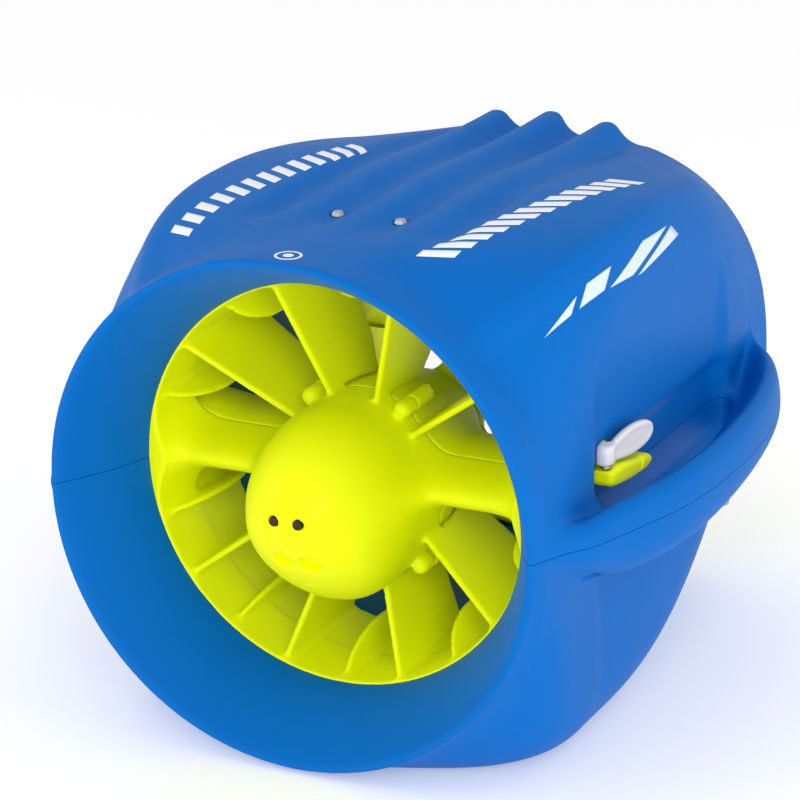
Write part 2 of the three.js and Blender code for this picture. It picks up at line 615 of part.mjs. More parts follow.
const BOARD_Y = 87.4
const boardParts = [
  toSolid(roundedPlate(30, 33, 16, BOARD_Y, 1.6, 8)),
  boxSolid([-14, BOARD_Y + 1, -30], [-2, BOARD_Y + 6, -20]),
  boxSolid([5, BOARD_Y + 1, -28], [15, BOARD_Y + 4.5, -20]),
  rodSolid([20, BOARD_Y + 1, -22], [20, BOARD_Y + 7.5, -22], 4, 10),
]
addPiece('control_board', toGeometry(union(boardParts)), BOARD)

// ---------------------------------------------------------------- motor and drive line
const MOTOR = { from: 97, to: 146, r: 18 }
const turningHole = (SHAFT_R + RUNNING) / Math.cos(Math.PI / 24)
addPiece('motor', turned([
  [0.001, MOTOR.from], [6, MOTOR.from], [6, MOTOR.from + 2.5],
  [MOTOR.r, MOTOR.from + 2.5], [MOTOR.r, MOTOR.to - 2],
  [MOTOR.r - 2, MOTOR.to], [turningHole, MOTOR.to], [turningHole, MOTOR.to - 18], [0.001, MOTOR.to - 18],
], 24), STEEL)
addPiece('motor_mount', turned([
  [turningHole + 2, MOTOR.to + GAP], [20, MOTOR.to + GAP],
  [20, MOTOR.to + 2.2], [turningHole + 2, MOTOR.to + 2.2],
], 24), BLACK)
addPiece('shaft_bearing', turned([[turningHole, 150], [10, 150], [10, 156], [turningHole, 156]], 24), STEEL)
const sealSection = [[turningHole, 157.3], [8, 157.3], [8, 161.6], [turningHole, 161.6]]
addPiece('shaft_seal', turned(sealSection, 24), RUBBER)

const PROP_REAR = PROP_FRONT + 28
const PIN_Y = PROP_FRONT + 6
const NUT_LENGTH = 8
const shaftSolid = toSolid(turnedDisc([
  [0, MOTOR.to - 17.4], [SHAFT_R, MOTOR.to - 17.4], [SHAFT_R, PROP_REAR + NUT_LENGTH + 2.5],
  [0, PROP_REAR + NUT_LENGTH + 3.5],
], 24))
const pinHole = rodSolid([0, PIN_Y, -20], [0, PIN_Y, 20], 1.5 + GAP, 10)
addPiece('propeller_shaft', toGeometry(shaftSolid.subtract(pinHole)), STEEL)
addPiece('drive_pin', rod([0, PIN_Y, -9.5], [0, PIN_Y, 9.5], 1.5, 10), STEEL)

// Blade sections from root to tip: radius, chord, pitch in degrees, thickness.
const bladeRadii = steps(13, PROP_R, 6)
function bladeSection(radius) {
  const out = (radius - 13) / (PROP_R - 13)
  const chord = mix(20, 46, Math.sin(Math.min(out * 1.25, 1) * Math.PI / 2)) * (1 - 0.45 * out ** 4)
  const pitch = Math.atan2(132, 2 * Math.PI * radius)
  const thick = mix(5.5, 2.2, out)
  const sweep = 10 * out ** 2
  return range(10).map((i) => {
    const angle = (i / 10) * 2 * Math.PI
    const along = (chord / 2) * Math.cos(angle) - sweep
    const across = (thick / 2) * Math.sin(angle)
    const x = along * Math.cos(pitch) - across * Math.sin(pitch)
    const y = along * Math.sin(pitch) + across * Math.cos(pitch)
    return [x, PROP_FRONT + 14 + y, radius]
  })
}
const REST_PHASE = 22 // how far the resting blades stand past upright, in degrees
function propeller() {
  const hub = toSolid(turned([
    [SHAFT_R + GAP, PROP_FRONT], [18, PROP_FRONT], [20, PROP_FRONT + 3],
    [18.5, PROP_REAR - 6], [15, PROP_REAR],
    [SHAFT_R + GAP, PROP_REAR],
  ], 24))
  const blade = loft(bladeRadii.map(bladeSection))
  const bladeTurn = (i) => radians(REST_PHASE + i * (360 / BLADES))
  const blades = range(BLADES).map((i) => toSolid(blade.clone().rotateY(bladeTurn(i))))
  const slotForPin = boxSolid([-2, PROP_FRONT - 1, -10.2], [2, PIN_Y + 2, 10.2])
  const bore = rodSolid([0, PROP_FRONT - 5, 0], [0, PROP_REAR + 5, 0], SHAFT_R + GAP, 24)
  return cut(union([hub, ...blades]), [slotForPin, bore])
}
addPiece('propeller', toGeometry(propeller()), YELLOW)
const nutBore = (SHAFT_R + GAP) / Math.cos(Math.PI / 6)
addPiece('prop_nut', turned([
  [nutBore, PROP_REAR + GAP], [7, PROP_REAR + GAP],
  [7, PROP_REAR + NUT_LENGTH], [nutBore, PROP_REAR + NUT_LENGTH],
], 6), STEEL)

// ---------------------------------------------------------------- rear guard
function rearGuard() {
  const outer = DUCT - 1.2
  const rim = toSolid(turned([
    [outer - 3.5, REAR_GUARD_START], [outer, REAR_GUARD_START],
    [outer, REAR_GUARD_END], [outer - 3.5, REAR_GUARD_END],
  ], 40))
  const cap = toSolid(turnedDisc([
    [0, REAR_GUARD_START + 2], [14, REAR_GUARD_START + 2],
    [17, REAR_GUARD_START + 8], [17, REAR_GUARD_END - 8],
    [11, REAR_GUARD_END - 2], [0, REAR_GUARD_END],
  ], 24))
  const corners = [
    [12, REAR_GUARD_START + 6], [outer - 2, REAR_GUARD_START + 4], [outer - 2, REAR_GUARD_END - 4],
    [12, REAR_GUARD_END - 8],
  ]
  const spokes = range(VANES).map((i) => radialBlade(i * (360 / VANES), corners, 3))
  const holes = REAR_SCREW_ANGLES.map((angle) => rodSolid(
    polar(angle, 90, REAR_SCREW_Y), polar(angle, 106, REAR_SCREW_Y), REAR_SCREW_R + GAP, 8))
  return cut(union([rim, cap, ...spokes]), holes)
}
addPiece('rear_guard', toGeometry(rearGuard()), YELLOW)
for (const [i, angle] of REAR_SCREW_ANGLES.entries()) {
  const [head, tip] = [92.6, 104.5].map((radius) => polar(angle, radius, REAR_SCREW_Y))
  addPiece(`rear_screw_${i + 1}`, screw(head, tip, 3.2, REAR_SCREW_R, 2), STEEL)
}

// ---------------------------------------------------------------- triggers
const PIN = { r: 1.5, headR: 2.6, from: 8, top: 26.6, headHeight: 1 }
const BARREL = { from: 19.6, to: 25.2, r: 3.4 }
const PADDLE_THICK = 4.2
const BASE = { back: 117.3, front: 129.5, top: 16.4 } // its back lies against the slot's inner wall

// An outline drawn in Y and Z, pulled along X from one place to another.
function sideways(shape, fromX, toX) {
  const settings = { depth: toX - fromX, bevelEnabled: false, curveSegments: 5 }
  const geometry = new THREE.ExtrudeGeometry(shape, settings)
  return geometry.rotateX(Math.PI / 2).rotateZ(Math.PI / 2).translate(fromX, 0, 0)
}

function paddleOutline() {
  const leaf = new THREE.Shape()
  leaf.moveTo(-3, 24.6)
  leaf.bezierCurveTo(4, 26.5, 9, 29.4, 19, 30.3)
  leaf.bezierCurveTo(31, 31.2, 43, 29, 43, 23.5)
  leaf.bezierCurveTo(43, 17.5, 33, 16.2, 24, 16.2)
  leaf.bezierCurveTo(13, 16.4, 6, 19, -3, 20.2)
  return leaf
}

const MAGNET_AT = [30, 22]
function paddle() {
  const leaf = toSolid(sideways(paddleOutline(), -PADDLE_THICK / 2, PADDLE_THICK / 2))
  const headroom = boxSolid([-10, -12, BARREL.to], [10, 4, 60])
  const footroom = boxSolid([-10, -12, 0], [10, 6, BARREL.from])
  const barrel = rodSolid([0, 0, BARREL.from], [0, 0, BARREL.to], BARREL.r, 16)
  const [along, up] = MAGNET_AT
  const whole = union([cut(leaf, [headroom, footroom]), barrel])
  const bore = (PIN.r + RUNNING) / Math.cos(Math.PI / 16)
  return toGeometry(cut(whole, [
    rodSolid([0, 0, 0], [0, 0, 60], bore, 16),
    rodSolid([-6, along, up], [-PADDLE_THICK / 2 + 2.1, along, up], 3 + GAP, 12),
  ]))
}

// Places a piece drawn around the pin, with the trigger's free angle, on its side of the hull.
function atPivot(geometry, side, yaw) {
  return onSide(geometry.clone().rotateZ(-radians(yaw)).translate(PIVOT.x, PIVOT.y, 0), side)
}

function triggerBase() {
  const foot = new THREE.Shape()
  foot.moveTo(80, 12.5)
  foot.lineTo(80, BASE.top)
  foot.lineTo(91, BASE.top)
  foot.bezierCurveTo(99, 15.6, 106, 13.6, 114, 12.2)
  foot.bezierCurveTo(121, 11.2, 129, 10.6, 129, 7.2)
  foot.bezierCurveTo(129, 4.4, 124, 3.6, 119, 3.8)
  foot.bezierCurveTo(104, 4.4, 92, 6.4, 86, 7.6)
  foot.quadraticCurveTo(80, 8.8, 80, 12.5)
  const body = toSolid(sideways(foot, BASE.back, BASE.front))
  const post = boxSolid([BASE.back, 88, 14], [BASE.back + 2.6, 95, 27])
  const groove = boxSolid([BASE.front - 2, 114.5, -10], [BASE.front + 5, 116.5, 20])
  const hole = rodSolid([PIVOT.x, PIVOT.y, PIN.from - GAP], [PIVOT.x, PIVOT.y, 40], PIN.r + GAP, 12)
  return toGeometry(cut(union([body, post]), [groove, hole]))
}

function coil(radius, wire, fromZ, toZ, turnsCount) {
  const helix = range(turnsCount * 8 + 1).map((i) => {
    const angle = (i / 8) * 2 * Math.PI
    const height = mix(fromZ, toZ, i / (turnsCount * 8))
    return new THREE.Vector3(radius * Math.cos(angle), radius * Math.sin(angle), height)
  })
  const section = new THREE.Shape(range(5).map((i) => {
    const angle = (i / 5) * 2 * Math.PI
    return new THREE.Vector2(wire * Math.cos(angle), wire * Math.sin(angle))
  }))
  return new THREE.ExtrudeGeometry(section, {
    steps: turnsCount * 9, bevelEnabled: false, extrudePath: new THREE.CatmullRomCurve3(helix),
  })
}

// Each trigger's sealed switch sits inside the hull wall, and its lead runs through the strut to the pod.
const SWITCH = { low: [107.7, 107, 15.5], high: [112.6, 121, 25.5] }
const LEAD_R = 1.3
const leadRoute = [
  [110.1, 106.2, 20], [110.1, 102, 19.6], [110.1, 95, 12], [110, 88, 4], [109.4, 81, 1], [104, LEAD_Y, 0.2],
  [70, LEAD_Y, 0], [40, LEAD_Y, 0], [28, LEAD_Y + 0.6, 0], [24.3, 81, 0], [24, 86.8, 0],
]
function lead() {
  const route = new THREE.CatmullRomCurve3(leadRoute.map((point) => new THREE.Vector3(...point)))
  const section = new THREE.Shape(range(6).map((i) => {
    const angle = (i / 6) * 2 * Math.PI
    return new THREE.Vector2(LEAD_R * Math.cos(angle), LEAD_R * Math.sin(angle))
  }))
  return new THREE.ExtrudeGeometry(section, { steps: 16, bevelEnabled: false, extrudePath: route })
}

for (const [name, side] of SIDES) {
  const magnet = rod([-PADDLE_THICK / 2 + 0.1, ...MAGNET_AT], [-PADDLE_THICK / 2 + 1.8, ...MAGNET_AT], 3, 12)
  const spring = coil(2.75, 0.4, BASE.top + 0.8, BARREL.from - 0.7, 2).translate(PIVOT.x, PIVOT.y, 0)
  const [top, foot] = [PIN.top, PIN.from].map((z) => [PIVOT.x, PIVOT.y, z])
  const pin = screw(top, foot, PIN.headR, PIN.r, PIN.headHeight)
  const box = new THREE.BoxGeometry(...SWITCH.high.map((value, i) => value - SWITCH.low[i]))
  box.translate(...SWITCH.high.map((value, i) => (value + SWITCH.low[i]) / 2))
  addPiece(`trigger_base_${name}`, onSide(triggerBase(), side), YELLOW)
  addPiece(`trigger_paddle_${name}`, atPivot(paddle(), side, TRIGGER_YAW), WHITE)
  addPiece(`trigger_magnet_${name}`, atPivot(magnet, side, TRIGGER_YAW), MAGNET)
  addPiece(`trigger_pin_${name}`, onSide(pin, side), STEEL)
  addPiece(`trigger_spring_${name}`, onSide(spring, side), STEEL)
  addPiece(`trigger_switch_${name}`, onSide(box, side), BLACK)
  addPiece(`switch_lead_${name}`, onSide(lead(), side), RUBBER)
}

scooter.position.set(0, -LENGTH / 2, BASE_DEPTH)
scooter.updateMatrixWorld(true)

export default scooter
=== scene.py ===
"""Looks of the underwater scooter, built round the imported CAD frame.

The moulded surfaces are level sets. Each one is a field: a function of x, y, z that is below zero
inside the material. skin() meshes the surface where a field is zero. Fields work in ring units:
one unit is the radius of the front ring, the origin is the middle of the front crest, x is to the
right, y back along the thrust axis and z up. Everything else is in metres, in the row frame.
"""

import json
import math

import bmesh
import bpy
import numpy as np
from mathutils import Matrix, Vector


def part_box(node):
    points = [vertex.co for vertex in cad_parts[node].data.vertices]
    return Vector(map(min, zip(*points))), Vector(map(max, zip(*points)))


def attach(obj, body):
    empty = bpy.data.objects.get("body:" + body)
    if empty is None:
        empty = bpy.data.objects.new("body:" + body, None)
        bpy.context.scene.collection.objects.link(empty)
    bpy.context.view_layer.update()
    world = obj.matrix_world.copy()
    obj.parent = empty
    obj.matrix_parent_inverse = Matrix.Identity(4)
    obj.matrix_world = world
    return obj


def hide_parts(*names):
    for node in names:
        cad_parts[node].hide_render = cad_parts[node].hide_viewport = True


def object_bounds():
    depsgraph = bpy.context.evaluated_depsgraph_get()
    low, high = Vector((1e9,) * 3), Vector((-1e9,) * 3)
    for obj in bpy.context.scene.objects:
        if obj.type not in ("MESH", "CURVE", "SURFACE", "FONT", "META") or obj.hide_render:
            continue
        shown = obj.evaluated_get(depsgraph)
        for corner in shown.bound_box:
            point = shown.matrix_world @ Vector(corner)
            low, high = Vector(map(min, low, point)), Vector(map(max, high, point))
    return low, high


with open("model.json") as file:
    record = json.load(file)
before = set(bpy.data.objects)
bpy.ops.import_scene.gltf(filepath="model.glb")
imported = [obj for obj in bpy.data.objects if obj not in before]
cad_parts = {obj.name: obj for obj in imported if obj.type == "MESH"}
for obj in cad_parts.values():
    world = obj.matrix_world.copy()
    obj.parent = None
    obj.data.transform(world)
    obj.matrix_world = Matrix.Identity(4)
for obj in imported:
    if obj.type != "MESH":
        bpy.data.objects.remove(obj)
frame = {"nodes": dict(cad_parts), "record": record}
cad_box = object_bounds()
cad_low, cad_high = cad_box

# ------------------------------------------------------------------ sizes, from the frame
REAR = 2.448  # the hull's length in ring units
RING = (cad_high.y - cad_low.y) / REAR  # radius of the front ring in metres
shaft_low, shaft_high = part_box("propeller_shaft")
AXIS_Z = (shaft_low.z + shaft_high.z) / 2
CREST = Vector((0, cad_low.y, AXIS_Z))  # middle of the front crest
MM = 0.001 / RING  # a millimetre in ring units


def units(point):
    """A point of the row frame in ring units."""
    return (Vector(point) - CREST) / RING


def middle(node):
    """The middle of a CAD node's box in ring units."""
    low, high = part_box(node)
    return units((low + high) / 2)


BASE = units(cad_low).z
TOP = units(cad_high).z
DUCT = 0.8
BAND_START = 51.2 * MM
BAND_END = units(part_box("front_guard")[1]).y
SEAM = 85 * MM  # where the front guard meets the pod's rear shell
POD_END = units(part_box("pod_rear")[1]).y
PARTING = 0.15 * MM  # half the gap between the two hull mouldings
SEAM_HALF = 0.35 * MM  # half the groove round the pod
TINY, FINE, COARSE = 0.5 * MM, 1.3 * MM, 1.6 * MM  # grid cells for skin()


# ------------------------------------------------------------------ field arithmetic
def smooth(start, end, value):
    """0 before the start and 1 after the end, with an S-shaped change between them."""
    share = np.clip((value - start) / (end - start), 0, 1)
    return share * share * (3 - 2 * share)


def join(first, second, fillet):
    """Union with a fillet of about that width."""
    near = np.maximum(fillet - np.abs(first - second), 0) / fillet
    return np.minimum(first, second) - near * near * fillet / 4


def meet(first, second, round_by):
    """Intersection with a rounded edge."""
    return -join(-first, -second, round_by)


def cut(first, second, round_by):
    """The first without the second, with a rounded edge."""
    return meet(first, -second, round_by)


def ellipsoid(x, y, z, centre, radii):
    """Below zero inside an ellipsoid, and roughly the distance from it outside."""
    size = np.sqrt(sum(((p - c) / r) ** 2 for p, c, r in zip((x, y, z), centre, radii)))
    return (size - 1) * min(radii)


def capsule_along_y(x, y, z, place, start, end, radius):
    """A round bar with ball ends, parallel to the thrust axis."""
    along = y - np.clip(y, start, end)
    return np.sqrt((x - place[0]) ** 2 + along ** 2 + (z - place[1]) ** 2) - radius


def sector(x, z, count, first=0.0):
    """Folds the plan round the thrust axis: distance out along the nearest of `count` equally
    spaced spokes, distance across it, and that spoke's number."""
    step = 2 * math.pi / count
    turn = np.arctan2(z, x) - first
    number = np.round(turn / step)
    rest = turn - number * step
    radius = np.hypot(x, z)
    return radius * np.cos(rest), radius * np.sin(rest), number % count


def outline_distance(u, v, points):
    """Signed distance from (u, v) to a closed outline, below zero inside."""
    nearest = np.full(np.broadcast(u, v).shape, 1e9)
    inside = np.zeros(nearest.shape, bool)
    for (au, av), (bu, bv) in zip(points, points[1:] + points[:1]):
        eu, ev = bu - au, bv - av
        share = np.clip(((u - au) * eu + (v - av) * ev) / (eu * eu + ev * ev), 0, 1)
        nearest = np.minimum(nearest, (u - au - share * eu) ** 2 + (v - av - share * ev) ** 2)
        if ev != 0:
            inside ^= ((av > v) != (bv > v)) & (u < au + eu * (v - av) / ev)
    return np.where(inside, -1, 1) * np.sqrt(nearest)


def bezier(start, handle, other_handle, end, count=10):
    """Points of a cubic curve, without its last one."""
    points = []
    for i in range(count):
        t = i / count
        weights = ((1 - t) ** 3, 3 * t * (1 - t) ** 2, 3 * t * t * (1 - t), t ** 3)
        corners = (start, handle, other_handle, end)
        points.append(tuple(sum(w * c[k] for w, c in zip(weights, corners)) for k in (0, 1)))
    return points


# ------------------------------------------------------------------ from a field to a mesh
SLAB = 24  # grid planes worked out at once
AROUND_EDGE = ((-1, -1), (0, -1), (0, 0), (-1, 0))


def surface_net(values):
    """Vertices in grid steps, and quads, of the net between the inside and outside grid points."""
    inside = values < 0
    strides = np.array([values.shape[1] * values.shape[2], values.shape[2], 1])
    quads, places = [], []
    for a in range(3):
        b, c = (a + 1) % 3, (a + 2) % 3
        near, far = [slice(None)] * 3, [slice(None)] * 3
        near[a], far[a] = slice(None, -1), slice(1, None)
        near, far = tuple(near), tuple(far)
        crossing = inside[near] != inside[far]
        at = np.argwhere(crossing)
        start, end = values[near][crossing], values[far][crossing]
        place = at.astype(float)
        place[:, a] += start / (start - end)
        cells = []
        for step_b, step_c in AROUND_EDGE:
            cell = at.copy()
            cell[:, b] += step_b
            cell[:, c] += step_c
            cells.append(cell @ strides)
        quad = np.stack(cells, axis=1)
        quads.append(np.where((start > 0)[:, None], quad[:, ::-1], quad))
        places.append(place)
    quads, places = np.concatenate(quads), np.concatenate(places)
    corner = np.unique(quads.ravel(), return_inverse=True)[1]
    counts = np.bincount(corner)
    vertices = [np.bincount(corner, np.repeat(places[:, i], 4)) / counts for i in range(3)]
    return np.stack(vertices, axis=1), corner.reshape(-1, 4)


def gradient(points, field, step):
    """The field's slope at each point, by central differences."""
    slopes = []
    for i in range(3):
        ahead, behind = points.copy(), points.copy()
        ahead[:, i] += step
        behind[:, i] -= step
        slopes.append((field(*ahead.T) - field(*behind.T)) / (2 * step))
    return np.stack(slopes, axis=1)


def pull(points, field, reach, rounds=4):
    """Moves points onto the surface, at most `reach` in each round."""
    for _ in range(rounds):
        value = field(*points.T)
        slope = gradient(points, field, reach / 10)
        step = value[:, None] * slope / np.maximum((slope ** 2).sum(1), 1e-4)[:, None]
        length = np.linalg.norm(step, axis=1)
        points = points - step * np.minimum(1, reach / np.maximum(length, 1e-12))[:, None]
    return points


def to_object(name, points, faces, material):
    """A smooth-shaded object from points in ring units."""
    mesh = bpy.data.meshes.new(name)
    mesh.from_pydata((points * RING + np.array(CREST)).tolist(), [], faces)
    mesh.shade_smooth()
    piece = bpy.data.objects.new(name, mesh)
    bpy.context.scene.collection.objects.link(piece)
    piece.data.materials.append(material)
    return piece


def skin(name, field, low, high, cell, material):
    """Mesh of the surface where a field is zero, inside a box in ring units."""
    ticks = [lo + cell * np.arange(int((hi - lo) / cell) + 2) for lo, hi in zip(low, high)]
    ticks = [tick.astype(np.float32) for tick in ticks]
    values = np.concatenate([
        field(ticks[0][i:i + SLAB, None, None], ticks[1][None, :, None], ticks[2][None, None, :])
        for i in range(0, len(ticks[0]), SLAB)
    ])
    vertices, quads = surface_net(values)
    points = pull(vertices * cell + np.array(low), field, cell / 2)
    return to_object(name, points, quads.tolist(), material)


# ------------------------------------------------------------------ materials
def srgb(red, green, blue):
    """A linear colour from 8-bit display values."""
    def linear(value):
        value /= 255
        return value / 12.92 if value <= 0.04045 else ((value + 0.055) / 1.055) ** 2.4
    return (linear(red), linear(green), linear(blue), 1)


def moulded(name, colour, roughness, mottle=0.05, grain=0.04, specular=0.3):
    """Satin moulded plastic: faint cloudiness, fine spark grain, uneven gloss."""
    material = bpy.data.materials.new(name)
    material.use_nodes = True
    nodes, links = material.node_tree.nodes, material.node_tree.links
    shader = nodes["Principled BSDF"]
    shader.inputs["Specular IOR Level"].default_value = specular
    place = nodes.new("ShaderNodeTexCoord")

    def noise(scale, detail):
        node = nodes.new("ShaderNodeTexNoise")
        node.inputs["Scale"].default_value = scale
        node.inputs["Detail"].default_value = detail
        links.new(place.outputs["Object"], node.inputs["Vector"])
        return node

    clouds = noise(14, 3)
    tint = nodes.new("ShaderNodeMix")
    tint.data_type = "RGBA"
    tint.inputs[6].default_value = [c * (1 - mottle) for c in colour[:3]] + [1]
    tint.inputs[7].default_value = [min(c * (1 + mottle), 1) for c in colour[:3]] + [1]
    links.new(clouds.outputs["Fac"], tint.inputs[0])
    links.new(tint.outputs[2], shader.inputs["Base Color"])

    gloss = nodes.new("ShaderNodeMapRange")
    gloss.inputs["To Min"].default_value = roughness - 0.05
    gloss.inputs["To Max"].default_value = roughness + 0.07
    links.new(noise(60, 2).outputs["Fac"], gloss.inputs["Value"])
    links.new(gloss.outputs["Result"], shader.inputs["Roughness"])

    bump = nodes.new("ShaderNodeBump")
    bump.inputs["Strength"].default_value = grain
    bump.inputs["Distance"].default_value = 0.0004
    links.new(noise(1800, 2).outputs["Fac"], bump.inputs["Height"])
    links.new(bump.outputs["Normal"], shader.inputs["Normal"])
    return material


def metal(name, colour, roughness):
    """Turned or rolled metal with fine grain."""
    material = moulded(name, colour, roughness, 0.1, 0.08)
    material.node_tree.nodes["Principled BSDF"].inputs["Metallic"].default_value = 1
    return material


BLUE = moulded("blue_plastic", srgb(0, 104, 190), 0.48, specular=0.08)
YELLOW = moulded("yellow_plastic", srgb(243, 251, 2), 0.45, 0.03, specular=0.15)
WHITE = moulded("white_plastic", srgb(226, 224, 226), 0.42, 0.02)
PRINT = moulded("white_print", srgb(246, 248, 250), 0.5, 0.01, 0.02)
PALE_PRINT = moulded("pale_blue_print", srgb(214, 230, 246), 0.5, 0.01, 0.02)
STEEL = metal("stainless_steel", srgb(168, 176, 184), 0.3)
# The contacts' brass is darkened well below its own colour to paint the shade inside their recessed holes.
SHADED_BRASS = metal("brass_with_painted_hole_shade", srgb(70, 62, 40), 0.45)
RUBBER = moulded("black_rubber", srgb(26, 27, 29), 0.8, 0.1, 0.2)
FOAM = moulded("white_foam", srgb(238, 238, 230), 0.95, 0.03, 0.6)
CELL = moulded("cell_wrap", srgb(40, 130, 145), 0.35)
BOARD = moulded("circuit_board", srgb(20, 88, 46), 0.4)
BLACK = moulded("black_plastic", srgb(34, 36, 39), 0.5)
MAGNET = metal("nickel_plate", srgb(150, 150, 154), 0.2)

SLOT_MATERIALS = {
    "blue_shell": BLUE, "yellow_guard": YELLOW, "white_paddle": WHITE, "steel": STEEL, "brass": SHADED_BRASS,
    "rubber": RUBBER, "foam": FOAM, "cell": CELL, "board": BOARD, "black_plastic": BLACK, "magnet": MAGNET,
}
for entry in frame["record"]["subparts"]:
    node = frame["nodes"][entry["node"]]
    node.data.materials.clear()
    node.data.materials.append(SLOT_MATERIALS[entry["material_slot"]])

# ------------------------------------------------------------------ hull field
FUNNEL_END = 52.4 * MM
FUNNEL_FLARE = 0.184  # how much wider the front mouth is than the duct
REAR_FLARE = 0.03
BAND_POCKET = 3.1 * MM  # depth of the groove that holds the guard's band
SQUARENESS = {"above": 5.5, "below": 5}  # how far the section's power goes over a circle's 2
SHOULDER = {"height": 0.02, "angle": math.radians(47), "spread": 0.07}  # the crease along the top


def hull_body(x, y, z):
    """A circle at both ends, a rounded square in between."""
    above = SQUARENESS["above"] * smooth(0.15, 1.1, y) * (1 - smooth(1.2, REAR + 0.3, y))
    below = SQUARENESS["below"] * smooth(0.05, 0.65, y) * (1 - smooth(0.9, REAR - 0.2, y))
    power = 2 + np.where(z > 0, above, below)
    width = 1 + 0.02 * smooth(0, 0.12, y) - 0.035 * smooth(0.12, 0.7, y) - 0.03 * smooth(1.8, REAR, y)
    height = 1 - 0.02 * smooth(0, 0.5, y) - 0.1 * smooth(1.2, REAR, y)
    depth = 1 + 0.035 * smooth(0, 0.35, y) - 0.1 * smooth(1.1, REAR, y)
    tall = np.where(z > 0, height, depth)
    off_crease = (np.arctan2(z, np.abs(x)) - SHOULDER["angle"]) / SHOULDER["spread"]
    fade = smooth(0.05, 0.3, y) * (1 - smooth(2.1, REAR, y))
    crease = SHOULDER["height"] * np.exp(-off_crease ** 2) * fade
    return (np.abs(x / width) ** power + np.abs(z / tall) ** power) ** (1 / power) - 1 - crease


RIDGES = ((0, 0.95), (-0.25, 0.93), (0.25, 0.93))  # distance off the middle, and height
RIDGE_R = 0.085
VALLEYS = (0.125, 0.375)  # distance off the middle
VALLEY_R = 0.055


def ridges(x, y, z):
    """Three level bars along the top, rounded above."""
    bars = [np.hypot(x - place, np.maximum(z - (top - RIDGE_R), 0)) - RIDGE_R for place, top in RIDGES]
    whole = np.minimum(np.minimum(bars[0], bars[1]), bars[2])
    return meet(meet(whole, 0.6 - z, 0.1), y - (REAR - 0.004), 0.05)


def valleys(x, y, z):
    """Shallow grooves beside the ridges, deepening towards the rear."""
    floor = 1.03 - 0.02 * smooth(0.3, 0.8, y) - 0.09 * smooth(1.2, REAR, y)
    side = np.abs(x)
    grooves = [np.hypot(side - place, z - floor) - VALLEY_R for place in VALLEYS]
    return meet(np.minimum(grooves[0], grooves[1]), 0.4 - y, 0.3)


WING = {"start": 0.04, "end": 2.26, "straight_to": 0.6, "widest": 1.2}
WING_SLOPE = 0.317  # how much wider the wing gets along its straight front part
STRAIGHT_EDGE, WIDEST_EDGE = 1.24, 1.315  # how far out it reaches at those two places
RAIL = 0.197  # width of the grip rail outside the hand slot
SLOT = {"start": 0.6, "end": 1.93, "wall": 0.936}
RECESS = {"start": 0.62, "end": 1.9}


def wing_edge(y):
    """How far out the grip wing reaches: straight, then a smooth bulge, then an elliptic tail."""
    front = 1.05 + WING_SLOPE * y - 0.09 * (1 - smooth(0, 0.3, y))
    span = WING["widest"] - WING["straight_to"]
    share = (y - WING["straight_to"]) / span
    entry = WING_SLOPE * span * (share ** 3 - 2 * share ** 2 + share)
    bulge = STRAIGHT_EDGE + entry + (WIDEST_EDGE - STRAIGHT_EDGE) * (3 * share ** 2 - 2 * share ** 3)
    back = np.maximum(y - WING["widest"], 0) / 1.04
    tail = 0.93 + 0.385 * np.sqrt(np.maximum(1 - back ** 2, 0))
    return np.where(y < WING["straight_to"], front, np.where(y < WING["widest"], bulge, tail))


def wing_top(y):
    """Height of the grip rail's top."""
    return 0.03 + 0.115 * (1 - np.exp(-np.maximum(y, 0) / 0.55))


def wing(x, y, z):
    """A shelf round the hull at grip height, with a raised and rounded outer rail."""
    side = np.abs(x)
    edge = wing_edge(y)
    top = wing_top(y)
    bottom = -0.03 - 0.2 * smooth(-0.1, 0.6, y) * (1 - 0.45 * smooth(0.8, 1.9, y))
    roof = top * (0.1 + 0.9 * smooth(edge - 0.19, edge - 0.055, side))
    lean = 0.03 * np.clip(z / top, 0, 1.5) ** 2 + 0.1 * np.clip(z / bottom, 0, 1.5) ** 2.5
    body = meet(side - edge + lean, z - roof, 0.045)
    body = meet(body, bottom - z, 0.09)
    return meet(meet(body, WING["start"] - y, 0.08), y - WING["end"], 0.05)


def slot_wall(z):
    """How far out the hull's wall stands behind the hand slot: deepest level with the grip."""
    height = np.abs(z)
    return SLOT["wall"] + 0.03 * smooth(0.12, 0.2, height) + 0.024 * smooth(0.25, 0.6, height)


def hand_slot(x, y, z):
    """The gap between the hull and the grip rail."""
    side = np.abs(x)
    across = meet(slot_wall(z) - side, side - (wing_edge(y) - RAIL), 0.05)
    return meet(meet(across, SLOT["start"] - y, 0.1), y - SLOT["end"], 0.14)


def palm_recess(x, y, z):
    """The hollow in the hull's side above and below the slot."""
    wall = meet(slot_wall(z) - np.abs(x), RECESS["start"] - y, 0.12)
    return meet(wall, y - RECESS["end"], 0.1)


def bore(y):
    """Radius of the way through the hull: funnel, pocket for the guard's band, duct, rear flare."""
    funnel = FUNNEL_FLARE * np.maximum(1 - np.maximum(y, 0) / FUNNEL_END, 0) ** 1.5
    pocket = smooth(FUNNEL_END, FUNNEL_END + 0.02, y) - smooth(BAND_END, BAND_END + 0.01, y)
    return DUCT + funnel + BAND_POCKET * pocket + REAR_FLARE * smooth(REAR - 0.06, REAR, y)


TOP_SCREW = middle("top_screw_right")
TOP_SEAT = {"radius": 3.9 * MM, "floor": 0.937}
HULL_SCREWS = [middle(f"hull_screw_{i}") for i in range(1, 7)]
HULL_SEAT = {"radius": 4.1 * MM, "above_middle": -9 * MM}
# Two small dents by the slot's ends: centre and half sizes.
DENTS = (((0.955, 0.64, 0.03), (0.02, 0.05, 0.018)), ((1.08, 2.2, 0.075), (0.03, 0.05, 0.016)))


